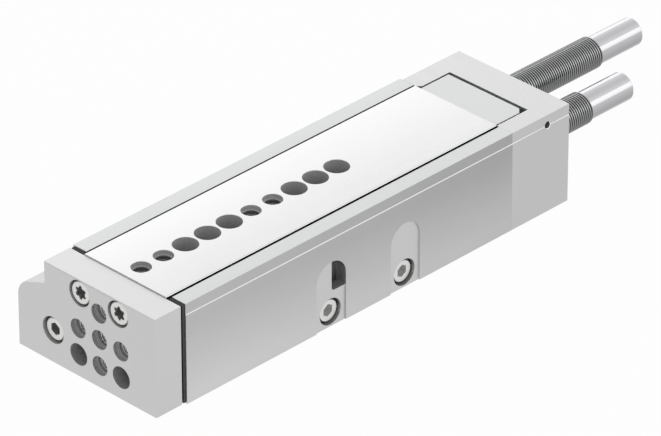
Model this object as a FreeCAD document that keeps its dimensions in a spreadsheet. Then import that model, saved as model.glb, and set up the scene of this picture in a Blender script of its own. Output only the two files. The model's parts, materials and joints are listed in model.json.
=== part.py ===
"""Pneumatic slide table: a steel table on ball cages, a cylinder beside it and two absorbers.

The origin is the front locating recess in the flat underside of the housing, on the centre line
of the table. +X is the direction of the stroke, out of the housing. +Y points out of the long
side that has the two screw pockets. +Z points up, out of the table's top.
"""

import FreeCAD, Part
import math
import os
from types import SimpleNamespace

import Sketcher
from FreeCAD import Placement, Rotation, Vector

DIMENSIONS = {
    # Motion
    "stroke": 80.0,
    "stop_gap": 0.1,
    # Housing, an extruded block with the cylinder in a shoulder on its left
    "housing_front": 26.3,
    "housing_length": 152.8,
    "right_wall": 2.15,
    "left_wall": 2.1,
    "rail_cover": 2.7,
    "band_height": 4.0,
    "band_step": 0.15,
    "channel_floor": 26.0,
    "trough_right": 14.5,
    "trough_left": 9.5,
    "absorber_floor_gap": 2.5,
    "stop_groove_depth": 2.0,
    "stop_groove_left": 10.0,
    "edge_chamfer": 0.25,
    # Shoulder over the cylinder, shared by housing, cap, cover and yoke
    "cylinder_side_wall": 8.5,
    "cylinder_top_wall": 3.6,
    "shoulder_rise": 4.9,
    "shoulder_round": 7.0,
    # Ball guide
    "rail_height": 8.0,
    "rail_depth": 3.3,
    "rail_gap": 0.9,
    "rail_end_gap": 0.2,
    "rail_seat_gap": 0.02,
    "ball_diameter": 4.0,
    "ball_gap": 0.05,
    "rail_floor_step": 1.3,
    "ball_pitch": 5.0,
    "cage_thickness": 0.7,
    "cage_edge_gap": 1.0,
    "cage_end": 3.0,
    "cage_end_gap": 0.5,
    # Slide table
    "table_half_width": 19.1,
    "table_side_gap": 0.9,
    "table_rise": 0.35,
    "table_floor_gap": 0.5,
    "table_rear_gap": 0.2,
    "table_chamfer": 0.25,
    "table_first_hole": 7.2,
    "access_hole_web": 1.0,
    # Grid of threads and recesses on the table and the yoke
    "grid_pitch": 10.0,
    "thread_core_diameter": 4.2,
    "locating_recess_diameter": 7.0,
    "locating_recess_depth": 1.7,
    "thread_mouth_diameter": 5.6,
    # Yoke plate
    "yoke_cover_gap": 0.6,
    "yoke_thickness": 12.0,
    "yoke_right_inset": 0.35,
    "yoke_left_inset": 0.55,
    "yoke_shoulder_lap": 0.25,
    "yoke_bottom": 0.5,
    "yoke_top_inset": 0.15,
    "yoke_grid_height": 19.0,
    "yoke_open_hole_diameter": 8.0,
    # Screws with a head in a counterbore
    "screw_diameter": 5.0,
    "screw_hole_gap": 0.25,
    "thread_gap": 0.05,
    "head_diameter": 8.4,
    "head_height": 5.0,
    "head_bore_diameter": 9.6,
    "head_recess": 0.5,
    "wide_bore_diameter": 9.9,
    "rod_head_recess": 0.9,
    "yoke_screw_length": 16.0,
    "yoke_screw_spread": 9.0,
    "yoke_bore_margin": 0.35,
    "lobe_core_diameter": 3.8,
    "lobe_diameter": 1.2,
    "lobe_circle_diameter": 4.0,
    "socket_depth": 2.5,
    "socket_across_flats": 4.0,
    # Cylinder and piston
    "cylinder_offset": 22.0,
    "cylinder_height": 13.1,
    "cylinder_diameter": 16.0,
    "rod_diameter": 8.0,
    "running_gap": 0.05,
    "static_gap": 0.03,
    "gland_length": 30.0,
    "gland_inset": 0.05,
    "piston_length": 18.0,
    "piston_rear_gap": 0.5,
    "end_plug_gap": 0.5,
    "piston_spigot_diameter": 5.0,
    "piston_spigot_length": 14.0,
    "piston_groove_depth": 2.3,
    "piston_seal_width": 3.0,
    "piston_seal_inset": 2.0,
    "magnet_width": 5.0,
    "magnet_cover": 0.5,
    "magnet_groove_depth": 2.7,
    "ring_gap": 0.05,
    "wiper_width": 2.8,
    "wiper_depth": 1.5,
    "rod_seal_inset": 6.5,
    "rod_seal_width": 3.5,
    "rod_seal_depth": 2.0,
    "o_ring_section": 1.9,
    "o_ring_groove_width": 2.3,
    "gland_o_ring_inset": 21.0,
    "end_plug_rear_gap": 0.3,
    "end_plug_collar": 4.6,
    "end_plug_nose_step": 1.6,
    # Rear cap
    "cap_rear_wall": 12.8,
    "cap_left_inset": 1.0,
    "cap_pocket_rear_gap": 1.3,
    "cap_pocket_side_gap": 0.7,
    "cap_lug_gap": 1.0,
    "cap_corner_cut": 1.6,
    "cap_side_hole_diameter": 2.5,
    "cap_side_hole_depth": 6.0,
    "cap_side_hole_inset": 10.6,
    "cap_screw_low_inset": 4.5,
    "cap_screw_high_inset": 6.5,
    "right_screw_offset": 6.0,
    "low_screw_height": 6.0,
    "high_screw_drop": 6.0,
    "absorber_pass_gap": 0.6,
    # Rear carrier, the block at the tail of the table
    "carrier_length": 14.0,
    "carrier_right": 18.3,
    "carrier_left": 16.7,
    "carrier_corner_cut": 2.0,
    "carrier_lug_wall": 2.4,
    "carrier_lug_floor_gap": 0.7,
    "carrier_bore_side_margin": 0.9,
    "carrier_bore_top_margin": 2.2,
    "small_screw_diameter": 4.0,
    "small_head_diameter": 7.0,
    "small_head_height": 4.0,
    "small_head_bore_diameter": 7.6,
    "small_head_recess": 0.4,
    "small_socket_across_flats": 3.0,
    "small_socket_depth": 2.0,
    "carrier_screw_length": 18.0,
    "cap_screw_length": 35.0,
    "screw_tip_gap": 1.0,
    # Absorbers, both alike
    "absorber_length": 102.0,
    "absorber_thread_diameter": 12.0,
    "absorber_thread_gap": 0.05,
    "absorber_sleeve_length": 21.35,
    "absorber_sleeve_diameter": 10.6,
    "absorber_sleeve_wall": 3.0,
    "absorber_spigot_diameter": 9.0,
    "absorber_sleeve_chamfer": 0.5,
    "absorber_thread_chamfer": 0.6,
    "absorber_thread_pitch": 1.0,
    "absorber_thread_depth": 0.6,
    "absorber_front_wall": 3.0,
    "absorber_chamber_diameter": 8.4,
    "absorber_chamber_length": 34.0,
    "buffer_rod_diameter": 5.0,
    "buffer_reach": 12.1,
    "buffer_head_length": 4.0,
    "buffer_tip_chamfer": 0.4,
    "spring_wire_diameter": 0.9,
    "spring_diameter": 6.0,
    "spring_turns": 9,
    "advance_absorber_offset": 2.0,
    "advance_absorber_reach": 54.3,
    "lock_nut_wall": 1.0,
    "lock_nut_thickness": 5.0,
    "lock_nut_chamfer": 0.6,
    # Stop bar for the forward end of the stroke, clamped by the two side screws
    "stop_bar_right_gap": 0.2,
    "stop_bar_left_gap": 0.4,
    "stop_bar_bottom_gap": 0.2,
    "stop_bar_over_screw": 5.3,
    "stop_foot_thickness": 8.0,
    "stop_foot_left": 4.0,
    "stop_foot_top": 20.0,
    "stop_bar_tail": 4.5,
    # Side pockets
    "side_screw_front": 40.0,
    "side_screw_pitch": 35.0,
    "side_bore_floor": 0.75,
    "side_screw_length": 9.2,
    "side_head_recess": 1.5,
    "pocket_width": 13.8,
    "pocket_rail_wall": 2.3,
    "pocket_depth": 0.5,
    "window_left": 0.7,
    "window_bore_web": 2.75,
    "window_depth": 4.4,
    "window_corner": 1.3,
    # Front cover
    "cover_thickness": 1.1,
    "cover_inset": 0.5,
    "cover_table_gap": 0.3,
    "cover_rod_gap": 0.4,
    "cover_screw_diameter": 2.0,
    "cover_screw_length": 6.0,
    "cover_screw_head_diameter": 3.6,
    "cover_screw_inset": 5.0,
    # Underside and left side
    "mounting_pitch": 100.0,
    "mounting_right": 20.0,
    "mounting_left_inset": 5.5,
    "mounting_thread_depth": 8.0,
    "underside_recess_diameter": 9.0,
    "underside_recess_depth": 1.6,
    "front_port_height": 6.3,
    "port_thread_depth": 5.0,
    "port_passage_diameter": 2.5,
    "port_gland_gap": 4.25,
    "rear_port_inset": 5.0,
    "sensor_slot_diameter": 4.2,
    "sensor_slot_mouth": 2.9,
    "sensor_slot_inset": 2.4,
    "sensor_slot_port_gap": 5.2,
    "sensor_slot_pitch": 5.5,
    # How far cutting tools stand out of the faces that they cut
    "overcut": 1.0,
}

# Holes down the table's top from the yoke: t is a recessed thread and a a plain access hole
TABLE_HOLES = "ttaaattaaa"
LOBES = 6


class Size:
    """A length kept as a number together with the sheet expression that gives it."""

    def __init__(self, number, text):
        self.number = number
        self.text = text

    @staticmethod
    def of(item):
        return item if isinstance(item, Size) else Size(float(item), repr(float(item)))

    def __add__(self, other):
        other = Size.of(other)
        return Size(self.number + other.number, f"({self.text} + {other.text})")

    def __sub__(self, other):
        other = Size.of(other)
        return Size(self.number - other.number, f"({self.text} - {other.text})")

    def __mul__(self, other):
        other = Size.of(other)
        return Size(self.number * other.number, f"({self.text} * {other.text})")

    def __rmul__(self, other):
        return self * other

    def __truediv__(self, other):
        other = Size.of(other)
        return Size(self.number / other.number, f"({self.text} / {other.text})")

    def __radd__(self, other):
        return Size.of(other) + self

    def __rsub__(self, other):
        return Size.of(other) - self

    def __neg__(self):
        return Size(-self.number, f"(0 - {self.text})")


def driving_sizes(document):
    """Write every driving dimension to a sheet cell with an alias and return them by name."""
    sheet = document.addObject("Spreadsheet::Sheet", "Dimensions")
    sizes = {}
    for row, (alias, number) in enumerate(DIMENSIONS.items(), start=1):
        sheet.set(f"A{row}", alias)
        sheet.set(f"B{row}", str(number))
        sheet.setAlias(f"B{row}", alias)
        sizes[alias] = Size(float(number), f"Dimensions.{alias}")
    document.recompute()
    return SimpleNamespace(**sizes)


doc = FreeCAD.newDocument("SlideTable")
d = driving_sizes(doc)
ALONG_X = Rotation(Vector(0, 1, 0), 90)
ALONG_Y = Rotation(Vector(1, 0, 0), -90)
ALONG_Z = Rotation()


def bind(item, **properties):
    """Tie properties of an object to sheet expressions."""
    for name, size in properties.items():
        item.setExpression(name, Size.of(size).text)


def move(item, x, y, z, rotation=ALONG_Z):
    """Place an object at a sheet-bound point."""
    item.Placement = Placement(Vector(Size.of(x).number, Size.of(y).number, Size.of(z).number), rotation)
    for axis, size in zip("xyz", (x, y, z)):
        item.setExpression(f"Placement.Base.{axis}", Size.of(size).text)


def box(name, x, y, z):
    """Box between pairs of low and high limits."""
    item = doc.addObject("Part::Box", name)
    bind(item, Length=x[1] - x[0], Width=y[1] - y[0], Height=z[1] - z[0])
    move(item, x[0], y[0], z[0])
    return item


def round_bar(name, diameter, length, x, y, z, rotation=ALONG_X):
    """Cylinder that starts at a point and runs along the rotated Z axis."""
    item = doc.addObject("Part::Cylinder", name)
    bind(item, Radius=Size.of(diameter) / 2, Height=length)
    move(item, x, y, z, rotation)
    return item


def hexagon(name, across_flats, length, x, y, z, rotation=ALONG_X):
    """Hexagonal bar that starts at a point and runs along the rotated Z axis."""
    item = doc.addObject("Part::Prism", name)
    item.Polygon = 6
    bind(item, Circumradius=Size.of(across_flats) / math.sqrt(3), Height=length)
    move(item, x, y, z, rotation)
    return item


def joined(name, pieces):
    """Fuse pieces into one solid."""
    item = doc.addObject("Part::MultiFuse", name)
    item.Shapes = pieces
    item.Refine = True
    return item


def cut(name, base, tools):
    """Take tools away from a base piece."""
    item = doc.addObject("Part::Cut", name)
    item.Base = base
    item.Tool = tools[0] if len(tools) == 1 else joined(f"{name}_tools", tools)
    item.Refine = True
    return item


def group(name, pieces):
    """Keep alike pieces together as separate solids."""
    item = doc.addObject("Part::Compound", name)
    item.Links = pieces
    return item


def outline(body, name, plane_role, corners):
    """Closed sketch through corners, each held by two sheet-bound distances from the origin."""
    sketch = body.newObject("Sketcher::SketchObject", name)
    plane = next(item for item in body.Origin.OriginFeatures if item.Role == plane_role)
    sketch.AttachmentSupport = [(plane, "")]
    sketch.MapMode = "FlatFace"
    corners = [(Size.of(across), Size.of(up)) for across, up in corners]
    points = [Vector(across.number, up.number, 0) for across, up in corners]
    for start, end in zip(points, points[1:] + points[:1]):
        sketch.addGeometry(Part.LineSegment(start, end))
    rules = []
    for index, (across, up) in enumerate(corners):
        rules += [Sketcher.Constraint("Coincident", (index - 1) % len(corners), 2, index, 1),
                  Sketcher.Constraint("DistanceX", -1, 1, index, 1, across.number),
                  Sketcher.Constraint("DistanceY", -1, 1, index, 1, up.number)]
    sketch.addConstraint(rules)
    for index, (across, up) in enumerate(corners):
        sketch.setExpression(f"Constraints[{3 * index + 1}]", across.text)
        sketch.setExpression(f"Constraints[{3 * index + 2}]", up.text)
    return sketch


def extruded(name, corners, start, length):
    """Body made by pushing an outline in the YZ plane along X."""
    body = doc.addObject("PartDesign::Body", name)
    sketch = outline(body, f"{name}_outline", "YZ_Plane", corners)
    pad = body.newObject("PartDesign::Pad", f"{name}_pad")
    pad.Profile = sketch
    bind(pad, Length=length)
    sketch.Visibility = False
    move(body, start, 0, 0)
    doc.recompute()
    return body


def turned(name, corners, x=0, y=0, z=0):
    """Body turned about an X-directed axis from corners of distance and radius."""
    body = doc.addObject("PartDesign::Body", name)
    sketch = outline(body, f"{name}_outline", "XY_Plane", corners)
    turn = body.newObject("PartDesign::Revolution", f"{name}_turn")
    turn.Profile = sketch
    turn.ReferenceAxis = (sketch, ["H_Axis"])
    turn.Angle = 360
    move(body, x, y, z)
    doc.recompute()
    return body


def edges_where(shape, wanted):
    """Names of the edges whose two ends satisfy a condition."""
    names = []
    for number, edge in enumerate(shape.Edges, start=1):
        if len(edge.Vertexes) == 2 and wanted(edge.Vertexes[0].Point, edge.Vertexes[1].Point):
            names.append(f"Edge{number}")
    return names


def dress(body, kind, name, size, wanted):
    """Add a fillet or chamfer to the body's edges that satisfy a condition."""
    tip = body.Tip
    feature = body.newObject(f"PartDesign::{kind}", name)
    feature.Base = (tip, edges_where(tip.Shape, wanted))
    bind(feature, **{"Radius" if kind == "Fillet" else "Size": size})
    doc.recompute()


def near(first, second):
    return abs(first - second) < 1e-6


def round_shoulder(body, reach):
    """Round the outer corner of the shoulder that covers the cylinder."""
    def at_corner(one, two):
        return all(near(point.y, -reach.number) and near(point.z, shoulder_corner.number)
                   for point in (one, two))
    dress(body, "Fillet", f"{body.Name}_shoulder", d.shoulder_round, at_corner)


def ease_ends(body, length, size):
    """Chamfer the edges that bound the body's two end faces."""
    def on_an_end(one, two):
        return any(near(one.x, end) and near(two.x, end) for end in (0, length.number))
    dress(body, "Chamfer", f"{body.Name}_ends", size, on_an_end)


def shoulder(left, reach, bottom=0):
    """Corners of the left side, from its top down over the shoulder to the bottom."""
    return [(-left, shoulder_root), (-reach, shoulder_corner), (-reach, bottom)]


# Places along the stroke, worked out from the driving sizes
housing_rear = d.housing_front - d.housing_length
yoke_back = d.housing_front + d.cover_thickness + d.yoke_cover_gap
yoke_front = yoke_back + d.yoke_thickness
table_rear = housing_rear + d.table_rear_gap
carrier_rear = table_rear - d.carrier_length
cap_pocket_rear = carrier_rear - d.cap_pocket_rear_gap
cap_rear = cap_pocket_rear - d.cap_rear_wall
cap_screw_tip = cap_rear + d.small_head_recess + d.small_head_height + d.cap_screw_length
cage_middle = (housing_rear + d.housing_front) / 2
cage_length = d.housing_length - d.stroke - 2 * d.cage_end_gap
gland_front = d.housing_front - d.gland_inset
gland_rear = gland_front - d.gland_length
plug_front = housing_rear + d.end_plug_gap
piston_rear = plug_front + d.piston_rear_gap
piston_front = piston_rear + d.piston_length
retract_front = piston_rear - d.stop_gap - d.buffer_reach
retract_rear = retract_front - d.absorber_length
plug_rear = retract_front + d.end_plug_rear_gap
advance_rear = cap_rear - d.advance_absorber_reach
advance_front = advance_rear + d.absorber_length
stop_face = advance_front + d.buffer_reach + d.stroke + d.stop_gap

# Diameters about the cylinder's axis
piston_groove_diameter = d.cylinder_diameter - 2 * d.piston_groove_depth
magnet_diameter = d.cylinder_diameter - 2 * d.magnet_cover
magnet_groove_diameter = d.cylinder_diameter - 2 * d.magnet_groove_depth
end_plug_nose_diameter = d.cylinder_diameter - 2 * d.end_plug_nose_step
wiper_diameter = d.rod_diameter + 2 * d.wiper_depth
rod_seal_diameter = d.rod_diameter + 2 * d.rod_seal_depth

# Places across the stroke
channel_side = d.table_half_width + d.table_side_gap
rail_face = channel_side + d.rail_gap
rail_back = rail_face + d.rail_depth
ball_line = (d.table_half_width + rail_face) / 2
housing_right = rail_back + d.right_wall
housing_left = rail_back + d.left_wall
band_right = housing_right - d.band_step
cylinder_y = -d.cylinder_offset
shoulder_reach = d.cylinder_offset + d.cylinder_diameter / 2 + d.cylinder_side_wall
yoke_right = housing_right - d.yoke_right_inset
yoke_left = housing_left - d.yoke_left_inset
yoke_reach = shoulder_reach + d.yoke_shoulder_lap
cap_left = housing_left - d.cap_left_inset
cap_pocket_right = d.carrier_right + d.cap_pocket_side_gap
cap_pocket_left = d.carrier_left + d.cap_pocket_side_gap
stop_bar_right = d.trough_right - d.stop_bar_right_gap
stop_bar_left = d.stop_groove_left + d.stop_bar_left_gap
lug_right = d.stop_groove_left
lug_left = d.absorber_thread_diameter / 2 + d.carrier_lug_wall - d.advance_absorber_offset
carrier_screw_spread = d.carrier_left - d.small_head_bore_diameter / 2 - d.carrier_bore_side_margin
right_screw_y = d.trough_right + d.right_screw_offset

# Heights
trough_floor = d.cylinder_height - d.absorber_thread_diameter / 2 - d.absorber_floor_gap
stop_groove_floor = trough_floor - d.stop_groove_depth
rail_bottom = d.channel_floor + d.rail_floor_step
rail_top = rail_bottom + d.rail_height
ball_height = rail_bottom + d.rail_height / 2
housing_height = rail_top + d.rail_cover
band_bottom = housing_height - d.band_height
table_bottom = d.channel_floor + d.table_floor_gap
table_top = housing_height + d.table_rise
shoulder_corner = d.cylinder_height + d.cylinder_diameter / 2 + d.cylinder_top_wall
shoulder_root = shoulder_corner + d.shoulder_rise
yoke_top = housing_height - d.yoke_top_inset
yoke_screw_height = yoke_top - d.head_bore_diameter / 2 - d.yoke_bore_margin
carrier_screw_height = housing_height - d.small_head_bore_diameter / 2 - d.carrier_bore_top_margin
lug_bottom = trough_floor + d.carrier_lug_floor_gap
side_screw_height = d.side_bore_floor + d.wide_bore_diameter / 2
pocket_top = rail_bottom - d.pocket_rail_wall
window_bottom = side_screw_height + d.wide_bore_diameter / 2 + d.window_bore_web
high_screw_height = d.channel_floor - d.high_screw_drop
sensor_slot_low = d.front_port_height + d.sensor_slot_port_gap
sensor_slot_high = sensor_slot_low + d.sensor_slot_pitch


def socket_screw(name, kind, x, y, z, length, rotation=ALONG_X, lobed=False):
    """Cap screw whose head top is at a point; it runs along the rotated Z axis."""
    head, tall, shank, flats, deep = kind
    bar = round_bar(f"{name}_shank", shank, tall + length, x, y, z, rotation)
    cap = round_bar(f"{name}_head", head, tall, x, y, z, rotation)
    solid = joined(f"{name}_solid", [bar, cap])
    if not lobed:
        recess = [hexagon(f"{name}_socket", flats, deep, x, y, z, rotation)]
    else:
        recess = lobed_recess(name, deep, (x, y, z), rotation)
    return cut(name, solid, recess)


def lobed_recess(name, deep, start, rotation):
    """Six-lobed recess made of a round core and six small rounds about it."""
    recess = [round_bar(f"{name}_core", d.lobe_core_diameter, deep, *start, rotation)]
    x, y, z = start
    for number in range(LOBES):
        turn = 2 * math.pi * (number + 0.5) / LOBES
        across = d.lobe_circle_diameter / 2 * math.cos(turn)
        up = d.lobe_circle_diameter / 2 * math.sin(turn)
        recess.append(round_bar(f"{name}_lobe_{number}", d.lobe_diameter, deep,
                                x, y + across, z + up, rotation))
    return recess


# Head diameter, head height, shank diameter, socket width and socket depth of each screw size
LARGE_SCREW = (d.head_diameter, d.head_height, d.screw_diameter, d.socket_across_flats, d.socket_depth)
SMALL_SCREW = (d.small_head_diameter, d.small_head_height, d.small_screw_diameter,
               d.small_socket_across_flats, d.small_socket_depth)
BACKWARD = Rotation(Vector(0, 1, 0), -90)
INWARD = Rotation(Vector(1, 0, 0), 90)


def recessed_thread(name, length, x, y, z, rotation):
    """Thread core with an eased mouth in the floor of a locating recess, as three tools."""
    axis = rotation.multVec(Vector(0, 0, 1))
    floor = [start if near(part, 0) else start + d.locating_recess_depth * round(part)
             for start, part in zip((x, y, z), axis)]
    mouth = doc.addObject("Part::Cone", f"{name}_mouth")
    bind(mouth, Radius1=d.thread_mouth_diameter / 2, Radius2=d.thread_core_diameter / 2,
         Height=(d.thread_mouth_diameter - d.thread_core_diameter) / 2)
    move(mouth, *floor, rotation)
    return [mouth, round_bar(f"{name}_core", d.thread_core_diameter, length, x, y, z, rotation),
            round_bar(f"{name}_recess", d.locating_recess_diameter, d.locating_recess_depth,
                      x, y, z, rotation)]


def housing():
    """Extruded housing with the guide channel, the trough, the cylinder bore and the pockets."""
    half = channel_side
    right = [(housing_right, 0), (housing_right, band_bottom), (band_right, band_bottom),
             (band_right, housing_height), (half, housing_height), (half, rail_top),
             (rail_back, rail_top), (rail_back, rail_bottom), (half, rail_bottom),
             (half, d.channel_floor), (d.trough_right, d.channel_floor),
             (d.trough_right, stop_groove_floor), (d.stop_groove_left, stop_groove_floor),
             (d.stop_groove_left, trough_floor)]
    left = [(-d.trough_left, trough_floor), (-d.trough_left, d.channel_floor),
            (-half, d.channel_floor), (-half, rail_bottom), (-rail_back, rail_bottom),
            (-rail_back, rail_top), (-half, rail_top), (-half, housing_height),
            (-housing_left, housing_height)]
    corners = right + left + shoulder(housing_left, shoulder_reach)
    block = extruded("housing_block", corners, housing_rear, d.housing_length)
    round_shoulder(block, shoulder_reach)

    tools = [round_bar("cylinder_bore", d.cylinder_diameter, d.housing_length,
                       housing_rear, cylinder_y, d.cylinder_height)]
    tools += side_pockets() + underside_holes() + sensor_slots()
    tools += port("front_port", gland_rear - d.port_gland_gap, d.front_port_height)
    for name, y, z in cap_screw_places():
        tools.append(round_bar(f"cap_thread_{name}", d.small_screw_diameter + 2 * d.thread_gap,
                               cap_screw_tip + d.screw_tip_gap - housing_rear, housing_rear, y, z))
    for name, y, z in cover_screw_places():
        tools.append(round_bar(f"cover_thread_{name}", d.cover_screw_diameter + 2 * d.thread_gap,
                               d.cover_screw_length, d.housing_front - d.cover_screw_length, y, z))
    return cut("housing", block, tools)


def side_pockets():
    """Shallow pockets with a screw counterbore each, and the window in the front one."""
    tools = []
    floor = housing_right - d.pocket_depth
    radius = d.pocket_width / 2
    for number in range(2):
        x = -d.side_screw_front - d.side_screw_pitch * number
        name = f"pocket_{number}"
        tools.append(box(f"{name}_flat", (x - radius, x + radius), (floor, housing_right + d.overcut),
                         (-d.pocket_depth, pocket_top - radius)))
        tools.append(round_bar(f"{name}_arch", d.pocket_width, d.pocket_depth + d.overcut,
                               x, floor, pocket_top - radius, ALONG_Y))
        seat = housing_right - d.side_head_recess - d.head_height
        tools.append(round_bar(f"{name}_bore", d.wide_bore_diameter, d.head_height + d.overcut,
                               x, seat, side_screw_height, ALONG_Y))
        tools.append(round_bar(f"{name}_hole", d.screw_diameter + 2 * d.screw_hole_gap,
                               housing_right - d.trough_right, x, d.trough_right - d.overcut,
                               side_screw_height, ALONG_Y))
    tools.append(pocket_window())
    return tools


def pocket_window():
    """Deep window in the front pocket, bounded above by the pocket's arch."""
    x = -d.side_screw_front
    radius = d.pocket_width / 2
    low = housing_right - d.window_depth
    deep = d.window_depth + d.overcut
    across = (low, low + deep)
    right = x - radius
    left = x - d.window_left
    centre = pocket_top - radius
    column = box("window_column", (right, left), across, (window_bottom, centre))
    head = doc.addObject("Part::Common", "window_head")
    head.Base = round_bar("window_arch", d.pocket_width, deep, x, low, centre, ALONG_Y)
    head.Tool = box("window_limit", (right, left), across, (centre, pocket_top))
    corner = box("window_corner", (left - d.window_corner, left), across,
                 (window_bottom, window_bottom + d.window_corner))
    rounding = round_bar("window_rounding", d.window_corner * 2, deep,
                         left - d.window_corner, low, window_bottom + d.window_corner, ALONG_Y)
    sharp = cut("window_sharp", corner, [rounding])
    return cut("window", joined("window_whole", [column, head]), [sharp])


def underside_holes():
    """Four mounting threads and two locating recesses in the flat underside."""
    tools = []
    for number in range(2):
        x = -d.mounting_pitch * number
        tools.append(round_bar(f"underside_recess_{number}", d.underside_recess_diameter,
                               d.underside_recess_depth, x, 0, 0, ALONG_Z))
        for side, y in (("right", d.mounting_right), ("left", d.mounting_left_inset - shoulder_reach)):
            tools.append(round_bar(f"underside_thread_{side}_{number}", d.thread_core_diameter,
                                   d.mounting_thread_depth, x, y, 0, ALONG_Z))
    return tools


def sensor_slots():
    """Two round-bottomed slots for position sensors along the left side."""
    tools = []
    y = -shoulder_reach + d.sensor_slot_inset
    for name, z in (("low", sensor_slot_low), ("high", sensor_slot_high)):
        tools.append(round_bar(f"sensor_slot_{name}", d.sensor_slot_diameter, d.housing_length,
                               housing_rear, y, z))
        tools.append(box(f"sensor_mouth_{name}", (housing_rear, d.housing_front),
                         (y - d.sensor_slot_inset - d.overcut, y),
                         (z - d.sensor_slot_mouth / 2, z + d.sensor_slot_mouth / 2)))
    return tools


def port(name, x, z):
    """Air port in the left side: a thread core and a passage on to the cylinder."""
    start = -shoulder_reach
    return [round_bar(f"{name}_thread", d.thread_core_diameter, d.port_thread_depth, x, start, z, ALONG_Y),
            round_bar(f"{name}_passage", d.port_passage_diameter, shoulder_reach - d.cylinder_offset,
                      x, start, z, ALONG_Y)]


def cover_screw_places():
    """Name, sideways place and height of each front cover screw."""
    return (("left", d.cover_screw_inset - shoulder_reach, d.low_screw_height),
            ("right", right_screw_y, d.low_screw_height),
            ("upper", right_screw_y, high_screw_height))


def cap_screw_places():
    """Name, sideways place and height of each screw between cap and housing."""
    return (("left_low", d.cap_screw_low_inset - shoulder_reach, d.low_screw_height),
            ("left_high", d.cap_screw_high_inset - shoulder_reach, high_screw_height),
            ("right_low", right_screw_y, d.low_screw_height),
            ("right_high", right_screw_y, high_screw_height))


def front_cover():
    """Thin plate over the housing's front end, open for the table and the piston rod."""
    inset = d.cover_inset
    gap = d.cover_table_gap
    side = d.table_half_width + gap
    corners = [(housing_right - inset, inset), (housing_right - inset, housing_height - inset),
               (side, housing_height - inset), (side, table_bottom - gap),
               (-side, table_bottom - gap), (-side, housing_height - inset),
               (-housing_left + inset, housing_height - inset)]
    corners += shoulder(housing_left - inset, shoulder_reach - inset, inset)
    plate = extruded("cover_plate", corners, d.housing_front, d.cover_thickness)
    round_shoulder(plate, shoulder_reach - inset)
    tools = [round_bar("cover_rod_hole", d.rod_diameter + 2 * d.cover_rod_gap, d.cover_thickness,
                       d.housing_front, cylinder_y, d.cylinder_height)]
    for name, y, z in cover_screw_places():
        tools.append(countersink(f"cover_hole_{name}", y, z, d.thread_gap))
    return cut("front_cover", plate, tools)


def countersink(name, y, z, gap):
    """Countersunk shape flush with the front cover, larger than the screw by a gap."""
    head = d.cover_screw_head_diameter / 2 + gap
    shank = d.cover_screw_diameter / 2 + gap
    front = d.housing_front + d.cover_thickness
    low = d.housing_front - d.cover_screw_length
    corners = [(low, 0), (low, shank), (front - (head - shank), shank), (front, head), (front, 0)]
    return turned(name, corners, 0, y, z)


def front_cover_screws():
    """Three small countersunk screws."""
    return group("front_cover_screws", [countersink(f"cover_screw_{name}", y, z, Size.of(0))
                                        for name, y, z in cover_screw_places()])


def guide_rail(side, sign):
    """Hardened rail in the housing's side slot, with a round ball track along it."""
    seat = d.rail_seat_gap
    inner = rail_face * sign
    outer = (rail_back - seat) * sign
    low, high = (inner, outer) if sign > 0 else (outer, inner)
    bar = box(f"rail_bar_{side}", (housing_rear + d.rail_end_gap, d.housing_front - d.rail_end_gap),
              (low, high), (rail_bottom + seat, rail_top - seat))
    track = round_bar(f"rail_track_{side}", d.ball_diameter + 2 * d.ball_gap, d.housing_length,
                      housing_rear, ball_line * sign, ball_height)
    return cut(f"guide_rail_{side}", bar, [track])


def ball_places():
    """Distance along X of each ball, spread evenly about the middle of the cage."""
    spaces = math.floor((cage_length.number - 2 * d.cage_end.number) / d.ball_pitch.number)
    return [cage_middle + d.ball_pitch * (number - spaces / 2) for number in range(spaces + 1)]


def ball_cage(side, sign):
    """Flat strip with a round hole for each ball."""
    y = ball_line * sign
    half_height = d.rail_height / 2 - d.cage_edge_gap
    strip = box(f"cage_strip_{side}",
                (cage_middle - cage_length / 2, cage_middle + cage_length / 2),
                (y - d.cage_thickness / 2, y + d.cage_thickness / 2),
                (ball_height - half_height, ball_height + half_height))
    holes = [round_bar(f"cage_hole_{side}_{number}", d.ball_diameter + 2 * d.ball_gap,
                       d.cage_thickness, x, y - d.cage_thickness / 2, ball_height, ALONG_Y)
             for number, x in enumerate(ball_places())]
    return cut(f"ball_cage_{side}", strip, holes)


def guide_balls(side, sign):
    """The balls of one cage."""
    balls = []
    for number, x in enumerate(ball_places()):
        ball = doc.addObject("Part::Sphere", f"ball_{side}_{number}")
        bind(ball, Radius=d.ball_diameter / 2)
        move(ball, x, ball_line * sign, ball_height)
        balls.append(ball)
    return group(f"guide_balls_{side}", balls)


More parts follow.
